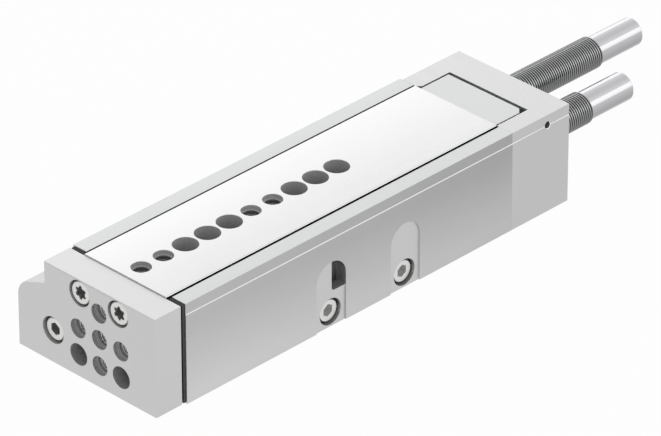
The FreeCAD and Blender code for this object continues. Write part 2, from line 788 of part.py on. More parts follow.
def slide_table():
    """Steel table with a ball track in each side and a row of holes down its top."""
    half = d.table_half_width
    table_length = yoke_back - table_rear
    corners = [(half, table_bottom), (half, table_top), (-half, table_top), (-half, table_bottom)]
    bar = extruded("table_bar", corners, table_rear, table_length)

    def long_top_edge(one, two):
        return near(one.z, table_top.number) and near(two.z, table_top.number) and near(one.y, two.y)
    dress(bar, "Chamfer", "table_bar_edges", d.table_chamfer, long_top_edge)

    tools = []
    for side, sign in (("right", 1), ("left", -1)):
        tools.append(round_bar(f"table_track_{side}", d.ball_diameter + 2 * d.ball_gap, table_length,
                               table_rear, ball_line * sign, ball_height))
        tools.append(round_bar(f"table_thread_{side}", d.screw_diameter + 2 * d.thread_gap,
                               d.yoke_screw_length, yoke_front - d.head_recess - d.head_height
                               - d.yoke_screw_length, d.yoke_screw_spread * sign, yoke_screw_height))
        tools.append(round_bar(f"tail_thread_{side}", d.small_screw_diameter + 2 * d.thread_gap,
                               d.carrier_screw_length, carrier_rear + d.small_head_recess
                               + d.small_head_height, carrier_screw_spread * sign,
                               carrier_screw_height))
    thick = table_top - table_bottom
    access_hole_diameter = d.grid_pitch - d.access_hole_web
    for number, kind in enumerate(TABLE_HOLES):
        x = yoke_back - d.table_first_hole - d.grid_pitch * number
        if kind == "a":
            tools.append(round_bar(f"access_hole_{number}", access_hole_diameter, thick,
                                   x, 0, table_bottom, ALONG_Z))
        else:
            down = Rotation(Vector(1, 0, 0), 180)
            tools += recessed_thread(f"table_hole_{number}", thick, x, 0, table_top, down)
    return cut("slide_table", bar, tools)


def yoke_plate():
    """Front plate that joins the table to the piston rod and carries the load's threads."""
    corners = [(yoke_right, d.yoke_bottom), (yoke_right, yoke_top), (-yoke_left, yoke_top)]
    corners += shoulder(yoke_left, yoke_reach, d.yoke_bottom)
    plate = extruded("yoke_blank", corners, yoke_back, d.yoke_thickness)
    round_shoulder(plate, yoke_reach)
    ease_ends(plate, d.yoke_thickness, d.edge_chamfer)

    tools = []
    for name, y, z, bore, recess in yoke_screw_places():
        tools.append(round_bar(f"yoke_bore_{name}", bore, d.yoke_thickness,
                               yoke_front - recess - d.head_height, y, z))
        tools.append(round_bar(f"yoke_hole_{name}", d.screw_diameter + 2 * d.screw_hole_gap,
                               d.yoke_thickness, yoke_back, y, z))
    for column, row in ((0, 0), (-1, 0), (1, 0), (0, -1), (0, 1)):
        tools += recessed_thread(f"yoke_thread_{column}_{row}".replace("-", "m"), d.yoke_thickness,
                                 yoke_front, d.grid_pitch * column,
                                 d.yoke_grid_height + d.grid_pitch * row, BACKWARD)
    for side, sign in (("right", 1), ("left", -1)):
        tools.append(round_bar(f"yoke_open_hole_{side}", d.yoke_open_hole_diameter, d.yoke_thickness,
                               yoke_back, d.grid_pitch * sign, d.yoke_grid_height - d.grid_pitch))
    return cut("yoke_plate", plate, tools)


def yoke_screw_places():
    """Name, sideways place, height, bore and depth under the face of each screw in the yoke."""
    return (("left", -d.yoke_screw_spread, yoke_screw_height, d.head_bore_diameter, d.head_recess),
            ("right", d.yoke_screw_spread, yoke_screw_height, d.head_bore_diameter, d.head_recess),
            ("rod", cylinder_y, d.cylinder_height, d.wide_bore_diameter, d.rod_head_recess))


def yoke_screws():
    """Two screws with six-lobed recesses that fasten the yoke to the table."""
    return group("yoke_screws", [
        socket_screw(f"yoke_screw_{name}", LARGE_SCREW, yoke_front - recess, y, z,
                     d.yoke_screw_length, BACKWARD, lobed=True)
        for name, y, z, _, recess in yoke_screw_places() if name != "rod"])


def rod_screw():
    """Screw with a hexagon socket that fastens the yoke to the piston rod."""
    return socket_screw("rod_screw", LARGE_SCREW, yoke_front - d.rod_head_recess, cylinder_y,
                        d.cylinder_height, d.yoke_screw_length, BACKWARD)


def stop_screws():
    """Two screws through the housing's side that clamp the stop bar."""
    screws = []
    for number in range(2):
        x = -d.side_screw_front - d.side_screw_pitch * number
        screws.append(socket_screw(f"stop_screw_{number}", LARGE_SCREW, x,
                                   housing_right - d.side_head_recess, side_screw_height,
                                   d.side_screw_length, INWARD))
    return group("stop_screws", screws)


def stop_bar():
    """Bar in the trough with a foot across the way of the moving absorber."""
    right = stop_bar_right
    left = stop_bar_left
    tail = -d.side_screw_front - d.side_screw_pitch - d.stop_bar_tail
    bottom = stop_groove_floor + d.stop_bar_bottom_gap
    bar = box("stop_rail", (tail, stop_face + d.stop_foot_thickness), (left, right),
              (bottom, side_screw_height + d.stop_bar_over_screw))
    foot = box("stop_foot", (stop_face, stop_face + d.stop_foot_thickness), (-d.stop_foot_left, right),
               (trough_floor + d.stop_bar_bottom_gap, d.stop_foot_top))
    threads = [round_bar(f"stop_thread_{number}", d.screw_diameter + 2 * d.thread_gap, right - left,
                         -d.side_screw_front - d.side_screw_pitch * number, left,
                         side_screw_height, ALONG_Y) for number in range(2)]
    return cut("stop_bar", joined("stop_blank", [bar, foot]), threads)


def rear_carrier():
    """Block at the tail of the table; its lug runs in the trough and holds an absorber."""
    side = d.carrier_right
    low = table_bottom
    block = box("carrier_block", (carrier_rear, table_rear), (-d.carrier_left, side), (low, housing_height))
    lug = box("carrier_lug", (carrier_rear, table_rear), (-lug_left, lug_right),
              (lug_bottom, low))
    corner = doc.addObject("Part::Prism", "carrier_corner")
    corner.Polygon = 4
    bind(corner, Circumradius=d.carrier_corner_cut, Height=housing_height)
    move(corner, carrier_rear, side, 0)
    tools = [corner, round_bar("carrier_thread", d.absorber_thread_diameter + 2 * d.absorber_thread_gap,
                               d.carrier_length, carrier_rear, d.advance_absorber_offset,
                               d.cylinder_height)]
    for name, sign in (("right", 1), ("left", -1)):
        y = carrier_screw_spread * sign
        tools.append(round_bar(f"carrier_hole_{name}", d.small_screw_diameter + 2 * d.screw_hole_gap,
                               d.carrier_length, carrier_rear, y, carrier_screw_height))
        tools.append(round_bar(f"carrier_bore_{name}", d.small_head_bore_diameter,
                               d.small_head_recess + d.small_head_height, carrier_rear, y,
                               carrier_screw_height))
    return cut("rear_carrier", joined("carrier_blank", [block, lug]), tools)


def carrier_screws():
    """Two screws that fasten the rear carrier to the tail of the table."""
    return group("carrier_screws", [
        socket_screw(f"carrier_screw_{name}", SMALL_SCREW, carrier_rear + d.small_head_recess,
                     carrier_screw_spread * sign, carrier_screw_height, d.carrier_screw_length)
        for name, sign in (("right", 1), ("left", -1))])


def rear_cap():
    """Cap that closes the housing's rear end and holds the absorber for the retracted end."""
    corners = [(housing_right, 0), (housing_right, band_bottom), (band_right, band_bottom),
               (band_right, housing_height), (-cap_left, housing_height)]
    corners += shoulder(cap_left, shoulder_reach)
    cap_length = housing_rear - cap_rear
    block = extruded("cap_block", corners, cap_rear, cap_length)
    round_shoulder(block, shoulder_reach)

    high = housing_height
    inside = (cap_pocket_rear, housing_rear)
    corner = doc.addObject("Part::Prism", "cap_corner")
    corner.Polygon = 4
    bind(corner, Circumradius=d.cap_corner_cut, Height=high - d.channel_floor)
    move(corner, housing_rear, -cap_pocket_left, d.channel_floor)
    tools = [
        box("cap_pocket", inside, (-cap_pocket_left, cap_pocket_right), (d.channel_floor, high)),
        box("cap_lug_way", inside, (-d.trough_left, lug_right + d.cap_lug_gap),
            (trough_floor, d.channel_floor)),
        corner,
        round_bar("cap_thread", d.absorber_thread_diameter + 2 * d.absorber_thread_gap, cap_length,
                  cap_rear, cylinder_y, d.cylinder_height),
        round_bar("cap_plug_seat", d.cylinder_diameter, housing_rear - plug_rear,
                  plug_rear, cylinder_y, d.cylinder_height),
        round_bar("cap_pass", d.absorber_thread_diameter + 2 * d.absorber_pass_gap, cap_length, cap_rear,
                  d.advance_absorber_offset, d.cylinder_height),
        round_bar("cap_side_hole", d.cap_side_hole_diameter, d.cap_side_hole_depth,
                  cap_rear + d.cap_side_hole_inset, housing_right - d.cap_side_hole_depth,
                  band_bottom, ALONG_Y),
    ]
    tools += port("rear_port", housing_rear - d.rear_port_inset, d.cylinder_height)
    for name, y, z in cap_screw_places():
        tools.append(round_bar(f"cap_hole_{name}", d.small_screw_diameter + 2 * d.screw_hole_gap,
                               cap_length, cap_rear, y, z))
        tools.append(round_bar(f"cap_bore_{name}", d.small_head_bore_diameter,
                               d.small_head_recess + d.small_head_height, cap_rear, y, z))
    return cut("rear_cap", block, tools)


def cap_screws():
    """Four screws that hold the cap to the housing."""
    return group("cap_screws", [
        socket_screw(f"cap_screw_{name}", SMALL_SCREW, cap_rear + d.small_head_recess, y, z,
                     d.cap_screw_length)
        for name, y, z in cap_screw_places()])


def cylinder_end_plug():
    """Plug that closes the cylinder's rear end round the absorber's buffer rod."""
    collar = d.cylinder_diameter / 2 - d.static_gap
    shoulder_x = plug_rear + d.end_plug_collar
    groove = d.cylinder_diameter / 2 - d.o_ring_section
    middle = plug_rear + d.end_plug_collar / 2
    hole = d.buffer_rod_diameter / 2 + d.running_gap
    half = d.o_ring_groove_width / 2
    corners = [(plug_rear, hole), (plug_rear, collar), (middle - half, collar), (middle - half, groove),
               (middle + half, groove), (middle + half, collar), (shoulder_x, collar),
               (shoulder_x, end_plug_nose_diameter / 2), (plug_front, end_plug_nose_diameter / 2),
               (plug_front, hole)]
    return turned("cylinder_end_plug", corners, 0, cylinder_y, d.cylinder_height)


def o_ring(name, x):
    """Ring seal in the cylinder bore, just clear of the wall and of its groove."""
    ring = doc.addObject("Part::Torus", name)
    bind(ring, Radius1=(d.cylinder_diameter - d.o_ring_section) / 2,
         Radius2=d.o_ring_section / 2 - d.ring_gap)
    move(ring, x, cylinder_y, d.cylinder_height, ALONG_X)
    return ring


def rod_gland():
    """Long bearing bush for the piston rod, with grooves for its wiper and seals."""
    front = gland_front
    rear = gland_rear
    bore = d.rod_diameter / 2 + d.running_gap
    outside = d.cylinder_diameter / 2 - d.static_gap
    wiper = wiper_diameter / 2
    seal = rod_seal_diameter / 2
    seal_front = front - d.rod_seal_inset
    seal_rear = seal_front - d.rod_seal_width
    groove_front = front - d.gland_o_ring_inset
    groove_rear = groove_front - d.o_ring_groove_width
    groove = d.cylinder_diameter / 2 - d.o_ring_section
    corners = [(rear, bore), (seal_rear, bore), (seal_rear, seal), (seal_front, seal), (seal_front, bore),
               (front - d.wiper_width, bore), (front - d.wiper_width, wiper), (front, wiper),
               (front, outside), (groove_front, outside), (groove_front, groove), (groove_rear, groove),
               (groove_rear, outside), (rear, outside)]
    return turned("rod_gland", corners, 0, cylinder_y, d.cylinder_height)


def ring(name, front, width, inner, outer):
    """Plain ring about the cylinder's axis, just clear of its groove."""
    gap = d.ring_gap
    corners = [(front - width + gap, inner / 2), (front - width + gap, outer / 2 - gap),
               (front - gap, outer / 2 - gap), (front - gap, inner / 2)]
    return turned(name, corners, 0, cylinder_y, d.cylinder_height)


def rod_wiper():
    """Scraper ring at the mouth of the gland."""
    return ring("rod_wiper", gland_front, d.wiper_width,
                d.rod_diameter + 2 * d.running_gap, wiper_diameter)


def rod_seal():
    """Seal ring that holds the air in at the piston rod."""
    return ring("rod_seal", gland_front - d.rod_seal_inset, d.rod_seal_width,
                d.rod_diameter + 2 * d.running_gap, rod_seal_diameter)


def piston_rod():
    """Round rod from the yoke to the piston, with a screw thread in front and a spigot behind."""
    radius = d.rod_diameter / 2
    spigot = d.piston_spigot_diameter / 2
    tail = piston_front - d.piston_spigot_length
    thread = d.screw_diameter / 2 + d.thread_gap
    thread_end = (yoke_front - d.rod_head_recess - d.head_height - d.yoke_screw_length
                  - d.screw_tip_gap)
    corners = [(tail, 0), (tail, spigot), (piston_front, spigot), (piston_front, radius),
               (yoke_back, radius), (yoke_back, thread), (thread_end, thread), (thread_end, 0)]
    return turned("piston_rod", corners, 0, cylinder_y, d.cylinder_height)


def piston():
    """Piston with a seal groove near each end and a groove for the magnet between them."""
    outside = d.cylinder_diameter / 2 - d.running_gap
    bore = d.piston_spigot_diameter / 2 + d.thread_gap
    floor = piston_groove_diameter / 2
    magnet_floor = magnet_groove_diameter / 2
    corners = [(piston_rear, 0), (piston_rear, outside)]
    for start, width, depth in piston_grooves(floor, magnet_floor):
        corners += [(start, outside), (start, depth), (start + width, depth), (start + width, outside)]
    bore_end = piston_front - d.piston_spigot_length - d.static_gap
    corners += [(piston_front, outside), (piston_front, bore), (bore_end, bore), (bore_end, 0)]
    return turned("piston", corners, 0, cylinder_y, d.cylinder_height)


def piston_grooves(floor, magnet_floor):
    """Start, width and floor radius of the piston's grooves from rear to front."""
    middle = (piston_rear + piston_front) / 2
    return ((piston_rear + d.piston_seal_inset, d.piston_seal_width, floor),
            (middle - d.magnet_width / 2, d.magnet_width, magnet_floor),
            (piston_front - d.piston_seal_inset - d.piston_seal_width, d.piston_seal_width, floor))


def piston_seals():
    """Two seal rings on the piston, just clear of the bore."""
    rings = []
    for name, front in (("front", piston_front - d.piston_seal_inset),
                        ("rear", piston_rear + d.piston_seal_inset + d.piston_seal_width)):
        rings.append(ring(f"piston_seal_{name}", front, d.piston_seal_width,
                          piston_groove_diameter + 2 * d.ring_gap, d.cylinder_diameter))
    return group("piston_seals", rings)


def piston_magnet():
    """Ring magnet that the position sensors read."""
    middle = (piston_rear + piston_front) / 2
    return ring("piston_magnet", middle + d.magnet_width / 2, d.magnet_width,
                magnet_groove_diameter + 2 * d.ring_gap, magnet_diameter)


def absorber(name, y, rear):
    """Barrel, end sleeve, buffer rod and spring of one absorber, from its rear end forwards."""
    front = rear + d.absorber_length
    thread_rear = rear + d.absorber_sleeve_length
    chamber_rear = front - d.absorber_front_wall - d.absorber_chamber_length
    head_front = front - d.absorber_front_wall - d.stop_gap
    head_rear = head_front - d.buffer_head_length
    return [absorber_barrel(name, y, rear, thread_rear, chamber_rear, front),
            absorber_sleeve(name, y, rear, thread_rear),
            absorber_buffer(name, y, head_rear, head_front, front),
            absorber_spring(name, y, chamber_rear, head_rear)]


def absorber_barrel(name, y, rear, thread_rear, chamber_rear, front):
    """Threaded barrel with the buffer's chamber in front and a spigot behind.

    Its outline has too many corners for a sketch to solve in reasonable time, so the shape is
    revolved directly from the sheet's sizes.
    """
    outside = d.absorber_thread_diameter / 2
    chamfer = d.absorber_thread_chamfer
    spigot = d.absorber_spigot_diameter / 2
    spigot_rear = rear + d.absorber_sleeve_wall
    chamber = d.absorber_chamber_diameter / 2
    hole = d.buffer_rod_diameter / 2 + d.running_gap
    wall = front - d.absorber_front_wall
    corners = [(spigot_rear, 0), (spigot_rear, spigot), (thread_rear, spigot),
               (thread_rear, outside - chamfer), (thread_rear + chamfer, outside)]
    corners += thread_corners(thread_rear + chamfer, front - chamfer, outside)
    corners += [(front - chamfer, outside), (front, outside - chamfer), (front, hole), (wall, hole),
                (wall, chamber), (chamber_rear, chamber), (chamber_rear, 0)]
    points = [Vector(Size.of(along).number, Size.of(radius).number, 0) for along, radius in corners]
    barrel = doc.addObject("Part::Feature", f"{name}_absorber_barrel")
    barrel.Shape = Part.Face(Part.makePolygon(points + points[:1])).revolve(
        Vector(), Vector(1, 0, 0), 360)
    move(barrel, 0, y, d.cylinder_height)
    return barrel


def thread_corners(rear, front, outside):
    """Root and crest of each turn, drawn as rings, with a plain rest that is shorter than a turn."""
    pitch = d.absorber_thread_pitch
    corners = []
    for number in range(math.ceil((front - rear).number / pitch.number) - 1):
        corners += [(rear + pitch * (number + 0.5), outside - d.absorber_thread_depth),
                    (rear + pitch * (number + 1), outside)]
    return corners


def absorber_sleeve(name, y, rear, thread_rear):
    """Smooth bright end sleeve over the barrel's spigot."""
    outside = d.absorber_sleeve_diameter / 2
    inside = d.absorber_spigot_diameter / 2 + d.static_gap
    chamfer = d.absorber_sleeve_chamfer
    mouth = thread_rear - d.static_gap
    floor = rear + d.absorber_sleeve_wall - d.static_gap
    corners = [(rear, 0), (rear, outside - chamfer), (rear + chamfer, outside), (mouth, outside),
               (mouth, inside), (floor, inside), (floor, 0)]
    return turned(f"{name}_absorber_sleeve", corners, 0, y, d.cylinder_height)


def absorber_buffer(name, y, head_rear, head_front, front):
    """Buffer rod with the head that the spring pushes on."""
    radius = d.buffer_rod_diameter / 2
    tip = front + d.buffer_reach
    head = d.absorber_chamber_diameter / 2 - d.running_gap
    corners = [(head_rear, 0), (head_rear, head), (head_front, head), (head_front, radius),
               (tip - d.buffer_tip_chamfer, radius), (tip, radius - d.buffer_tip_chamfer), (tip, 0)]
    return turned(f"{name}_buffer_rod", corners, 0, y, d.cylinder_height)


def absorber_spring(name, y, chamber_rear, head_rear):
    """Coil spring behind the buffer rod's head."""
    wire = d.spring_wire_diameter
    length = head_rear - chamber_rear - wire - 2 * d.stop_gap
    helix = doc.addObject("Part::Helix", f"{name}_spring_line")
    bind(helix, Radius=d.spring_diameter / 2, Height=length, Pitch=length / d.spring_turns)
    section = doc.addObject("Part::Circle", f"{name}_spring_section")
    bind(section, Radius=wire / 2)
    move(section, d.spring_diameter / 2, 0, 0, Rotation(Vector(1, 0, 0), 90))
    coil = doc.addObject("Part::Sweep", f"{name}_absorber_spring")
    coil.Sections = [section]
    coil.Spine = helix
    coil.Solid = True
    coil.Frenet = True
    move(coil, chamber_rear + wire / 2 + d.stop_gap, y, d.cylinder_height, ALONG_X)
    return coil


def lock_nut(name, x, y):
    """Thin hexagon nut on an absorber's thread."""
    lock_nut_flats = d.absorber_thread_diameter + 2 * d.lock_nut_wall
    blank = hexagon(f"{name}_blank", lock_nut_flats, d.lock_nut_thickness, x, y, d.cylinder_height)
    hole = round_bar(f"{name}_hole", d.absorber_thread_diameter + 2 * d.absorber_thread_gap,
                     d.lock_nut_thickness, x, y, d.cylinder_height)
    corner = lock_nut_flats / math.sqrt(3)
    flat = lock_nut_flats / 2
    easing = d.lock_nut_chamfer
    corners = [(0, 0), (0, flat), (easing, corner), (d.lock_nut_thickness - easing, corner),
               (d.lock_nut_thickness, flat), (d.lock_nut_thickness, 0)]
    envelope = turned(f"{name}_envelope", corners, x, y, d.cylinder_height)
    eased = doc.addObject("Part::Common", f"{name}_eased")
    eased.Base = blank
    eased.Tool = envelope
    return cut(name, eased, [hole])


def build():
    """Make every sub-part; each result's name is its node's name."""
    parts = [housing(), rear_cap(), front_cover(), front_cover_screws(), cap_screws()]
    for side, sign in (("right", 1), ("left", -1)):
        parts += [guide_rail(side, sign), ball_cage(side, sign), guide_balls(side, sign)]
    parts += [slide_table(), yoke_plate(), yoke_screws(), rod_screw()]
    parts += [rear_carrier(), carrier_screws()]
    parts += [stop_bar(), stop_screws()]
    parts += [rod_gland(), rod_wiper(), rod_seal(), cylinder_end_plug(), piston_rod(), piston()]
    gland_groove = gland_front - d.gland_o_ring_inset - d.o_ring_groove_width / 2
    plug_groove = plug_rear + d.end_plug_collar / 2
    parts += [o_ring("gland_o_ring", gland_groove), o_ring("plug_o_ring", plug_groove)]
    parts += [piston_seals(), piston_magnet()]
    parts += absorber("retract", cylinder_y, retract_rear)
    parts += absorber("advance", d.advance_absorber_offset, advance_rear)
    parts += [lock_nut("retract_lock_nut", cap_rear - d.lock_nut_thickness, cylinder_y),
              lock_nut("advance_lock_nut", table_rear, d.advance_absorber_offset)]
    return parts


def export(parts):
    """Check every object, then write one file for each sub-part."""
    doc.recompute()
    for item in doc.Objects:
        if "Invalid" in item.State or "Error" in item.State:
            raise RuntimeError(f"{item.Name} did not build: {item.State}")
    for item in parts:
        if item.Shape.isNull() or not item.Shape.isValid():
            raise RuntimeError(f"{item.Label} has no valid shape")
    os.makedirs("parts", exist_ok=True)
    for item in parts:
        item.Shape.exportStep(f"parts/{item.Label}.step")


export(build())
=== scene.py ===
"""Looks of a pneumatic slide table: machined edges, threads, screws, balls and metal finishes.

The file is laid out as an add-on and run as a script. Each operator makes one piece or one group
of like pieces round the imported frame, in metres and in the frame's own place.
"""

import json
import math
from contextlib import contextmanager

import bmesh
import bpy
from bpy.props import FloatProperty, FloatVectorProperty, IntProperty, PointerProperty
from mathutils import Matrix, Vector

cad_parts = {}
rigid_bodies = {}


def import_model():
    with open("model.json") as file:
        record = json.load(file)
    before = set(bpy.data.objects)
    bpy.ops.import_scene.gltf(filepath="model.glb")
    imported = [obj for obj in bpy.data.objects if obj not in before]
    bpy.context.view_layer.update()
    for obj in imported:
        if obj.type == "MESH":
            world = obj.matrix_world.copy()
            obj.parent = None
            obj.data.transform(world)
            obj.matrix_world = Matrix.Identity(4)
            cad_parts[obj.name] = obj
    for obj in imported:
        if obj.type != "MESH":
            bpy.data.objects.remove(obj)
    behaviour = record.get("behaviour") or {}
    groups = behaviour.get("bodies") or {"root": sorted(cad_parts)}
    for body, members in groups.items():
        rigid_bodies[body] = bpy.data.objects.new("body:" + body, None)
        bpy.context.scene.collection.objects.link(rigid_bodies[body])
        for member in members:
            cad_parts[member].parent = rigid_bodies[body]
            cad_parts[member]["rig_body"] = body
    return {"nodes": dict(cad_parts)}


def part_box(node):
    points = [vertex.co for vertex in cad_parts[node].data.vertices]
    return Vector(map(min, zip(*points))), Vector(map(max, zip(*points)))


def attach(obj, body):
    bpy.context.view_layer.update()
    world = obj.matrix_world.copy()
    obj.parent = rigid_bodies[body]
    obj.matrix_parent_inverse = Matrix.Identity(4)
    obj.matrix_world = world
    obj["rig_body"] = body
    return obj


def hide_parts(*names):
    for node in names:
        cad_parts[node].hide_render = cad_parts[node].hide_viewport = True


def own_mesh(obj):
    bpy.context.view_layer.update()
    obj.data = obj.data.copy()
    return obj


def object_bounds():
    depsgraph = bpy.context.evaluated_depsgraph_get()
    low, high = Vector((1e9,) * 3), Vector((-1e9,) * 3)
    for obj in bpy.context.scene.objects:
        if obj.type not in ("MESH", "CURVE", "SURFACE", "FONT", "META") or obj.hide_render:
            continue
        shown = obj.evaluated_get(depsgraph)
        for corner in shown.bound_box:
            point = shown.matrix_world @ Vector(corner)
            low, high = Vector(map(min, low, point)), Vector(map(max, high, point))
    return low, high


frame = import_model()
cad_low, cad_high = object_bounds()

bl_info = {
    "name": "Slide Table Looks",
    "version": (1, 0, 0),
    "blender": (4, 5, 0),
    "location": "View3D > Sidebar > Slide Table",
    "description": "Dresses a pneumatic slide table in machined edges, threads and metal finishes",
    "category": "Object",
}

MM = 0.001
IMAGE_WIDTH = 661


def in_mm(*places):
    """Places given in millimetres, in metres."""
    return [tuple(value * MM for value in place) for place in places]


# Places of holes and screws across their axes, the same as in the solids
TABLE_HOLES = [(20.8 * MM - 10 * MM * number, 0) for number in range(10)]
TAPPED_TABLE_HOLES = [TABLE_HOLES[number] for number in (0, 1, 5, 6)]
YOKE_THREADS = in_mm((0, 19), (-10, 19), (10, 19), (0, 9), (0, 29))
YOKE_SCREWS = in_mm((-9, 32.7), (9, 32.7))
YOKE_BORES = YOKE_SCREWS + in_mm((-22, 13.1), (-10, 9), (10, 9))
STOP_SCREWS = in_mm((-40, 5.7), (-75, 5.7))
CAP_SCREWS = in_mm((-34, 6), (-32, 20), (20.5, 6), (20.5, 20))
CARRIER_SCREWS = in_mm((-12, 32.2), (12, 32.2))

# How near to a wall or an edge a point counts as being on it, and points count as one
BORE_TOLERANCE, LEDGE_TOLERANCE, MERGE_TOLERANCE = 0.05 * MM, 0.01 * MM, 0.002 * MM

# How far the eased edges reach in from an outer face; what lies deeper is a pocket's or a hole's
BLOCK_RIM, TABLE_RIM, YOKE_RIM = 0.4 * MM, 0.3 * MM, 0.2 * MM

# Depths at which the walls of a bore and of a thread begin under their eased mouths
BORE_MOUTH, THREAD_MOUTH = 0.1 * MM, 1.5 * MM

# Radii round the holes that take in their walls, and the share of a recess's chamfer left out
THREAD_WALL, TABLE_WALL, YOKE_WALL, SOCKET_WALL = 2.9 * MM, 4.7 * MM, 5.1 * MM, 2.9 * MM
LIP_SHARE = 0.9

# How far round the ledge the cap's small hole is looked for, and how far from the cap's ends
SIDE_HOLE_REACH, SIDE_HOLE_MARGIN = 3 * MM, 5 * MM

# Diameters of the screws' shanks and of the small heads, and the middle of a recess's floor
LARGE_SCREW, SMALL_SCREW, SMALL_HEAD, FLOOR_RADIUS = 5 * MM, 4 * MM, 7 * MM, 0.2 * MM

# Shares of an axis in a face's normal, from a face that lies flat across it to one that leans
FLAT, STEEP, SLOPED, SLIGHT, LEANING = 0.9, 0.5, 0.4, 0.3, 0.2

# Height of a crest's band, below which the ridge is painted shade, and a run-out that cuts nothing
# off
CREST_BAND, NO_RUN_OUT = 0.2 * MM, -1.0

# Shares of their full size that keep ridge and balls inside the solids' box
RIDGE_SHARE, BALL_SHARE = 0.999, 0.9995


def length(name, description, millimetres, **more):
    """A length property with its default in millimetres."""
    return FloatProperty(name=name, description=description, default=millimetres * MM,
                         unit="LENGTH", subtype="DISTANCE", precision=5, **more)


def colour(name, description, value):
    """A colour property."""
    return FloatVectorProperty(name=name, description=description, default=value,
                               size=3, min=0, max=1, subtype="COLOR")


class MachiningSizes(bpy.types.PropertyGroup):
    """Sizes of edges and threads."""

    edge_break: length("Edge break", "Width of milled pieces' eased edges", 0.2)
    fine_break: length("Fine edge break", "Width of ground pieces' eased edges", 0.12)
    band_break: length("Band edge break", "Width of the eased edges beside the thin step", 0.07)
    band_height: length("Band height", "Height of the upper band on the visible side", 4.0)
    band_slope: length("Band slope", "Height of the bright slope under the upper band", 0.3)
    pocket_reach: length("Pocket reach", "Depth down to which pockets have a milled floor", 3.5)
    # The housing's inner walls above this height get painted shade
    window_foot: length("Window foot", "Height over which the housing's inner walls are dark", 11.0)
    hole_chamfer: length("Hole chamfer", "Width of the chamfer round the cap's small hole", 0.3)
    absorber_pitch: length("Absorber thread pitch", "Travel of one turn on the absorbers", 1.0)
    absorber_thread: length("Absorber thread", "Outside diameter of the absorbers", 12.0)
    thread_depth: length("Thread depth", "Height of the absorber thread's ridge", 0.61)
    thread_end: length("Thread end", "Length of the eased end of the absorber thread", 0.6)
    buffer_travel: length("Buffer travel", "Way that a buffer rod is pushed in at most", 10.0)
    thread_steps: IntProperty(name="Thread steps", description="Points on one turn of the thread",
                              default=40, min=12, max=96)
    tapped_pitch: length("Tapped pitch", "Travel of one turn in the tapped holes", 0.8)
    tapped_thread: length("Tapped thread", "Largest diameter of the tapped holes' thread", 5.0)
    tapped_core: length("Tapped core", "Smallest diameter of the tapped holes' thread", 4.2)
    tapped_start: length("Thread start", "Depth under the face at which the turns begin", 2.4)
    ball_diameter: length("Ball diameter", "Diameter of the guide balls", 4.0)
    ball_pitch: length("Ball pitch", "Distance between neighbouring balls", 5.0)


class ScrewSizes(bpy.types.PropertyGroup):
    """Sizes of the screws' heads and recesses."""

    head_easing: length("Head easing", "Size of the chamfer round a screw head", 0.35)
    recess_easing: length("Recess easing", "Size of the chamfer round a screw recess", 0.18)
    lobe_core: length("Lobed recess core", "Diameter between the lobes of a six-lobed recess", 3.8)
    lobe_round: length("Lobe diameter", "Diameter of one lobe", 1.2)
    lobe_circle: length("Lobe circle", "Diameter of the circle through the lobes' centres", 4.0)
    large_socket: length("Large socket", "Width across flats of the larger hexagon sockets", 4.0)
    small_socket: length("Small socket", "Width across flats of the smaller hexagon sockets", 3.0)
    large_depth: length("Large socket depth", "Depth of the larger sockets", 2.5)
    small_depth: length("Small socket depth", "Depth of the smaller sockets", 2.0)


class MetalColours(bpy.types.PropertyGroup):
    """Colours of the metals and the dark parts."""

    housing: colour("Housing", "Brushed and anodised aluminium of the housing", (0.5, 0.5, 0.5))
    # A lighter copy of the housing's colour for its top: painted light
    painted_light_top: colour("Housing top", "Ground aluminium beside the table", (0.63, 0.645, 0.645))
    # Near white: bare cut metal, also painted as a highlight along the slope and the chamfer
    cut_edge: colour("Cut edges", "Bright edges cut after anodising", (0.88, 0.88, 0.88))
    cap: colour("Rear cap", "Milled and anodised aluminium of the cap", (0.54, 0.54, 0.54))
    yoke: colour("Yoke", "Milled and anodised aluminium of the yoke", (0.61, 0.61, 0.61))
    carrier: colour("Carrier", "Matt aluminium of the rear carrier", (0.74, 0.755, 0.755))
    table: colour("Table", "Finely ground steel of the table", (0.73, 0.73, 0.73))
    rail: colour("Rails", "Ground steel of the rails", (0.56, 0.56, 0.565))
    screw: colour("Screws", "Plated steel of the screws", (0.7, 0.7, 0.69))
    thread: colour("Thread", "Dark steel of the absorber barrels", (0.46, 0.47, 0.465))
    chrome: colour("Chrome", "Bright ground and chromed steel", (0.8, 0.8, 0.81))
    sleeve: colour("Sleeves", "Turned steel of the absorbers' end sleeves", (0.61, 0.61, 0.625))
    brass: colour("Brass", "Brass of the ball cages", (0.72, 0.56, 0.3))
    plastic: colour("Plastic", "Black moulded plastic", (0.035, 0.035, 0.037))
    rubber: colour("Rubber", "Black rubber of the seals", (0.022, 0.022, 0.022))


def number(name, description, default, **more):
    """A plain number property that isn't negative."""
    return FloatProperty(name=name, description=description, default=default, min=0, **more)


class StudioSettings(bpy.types.PropertyGroup):
    """Floor, lamps and sky."""

    floor: colour("Floor", "Colour of the floor", (0.9, 0.9, 0.9))
    floor_glow: number("Floor level", "Share of the floor that shows as white", 0.97, max=1)
    zenith_level: number("Zenith level", "Level of the sky overhead in reflections", 0.55, max=1)
    sky_level: number("Sky level", "Light that the surroundings give", 0.5, max=2)
    key_power: number("Key lamp", "Power of the long lamp on the left", 1.6, unit="POWER")
    key_top: number("Key lamp's top", "Height of the long lamp's upper edge", 0.62, unit="LENGTH")
    back_power: number("Back lamp", "Power of the long lamp at the back right", 2.0, unit="POWER")
    fill_power: number("Fill lamp", "Power of the lamp in front", 0.8, unit="POWER")


def both_ways(operation):
    """A Math operation on a level, and the same with the level as its second number."""
    return (lambda level, other: level.board.math(operation, level, other),
            lambda level, other: level.board.math(operation, other, level))


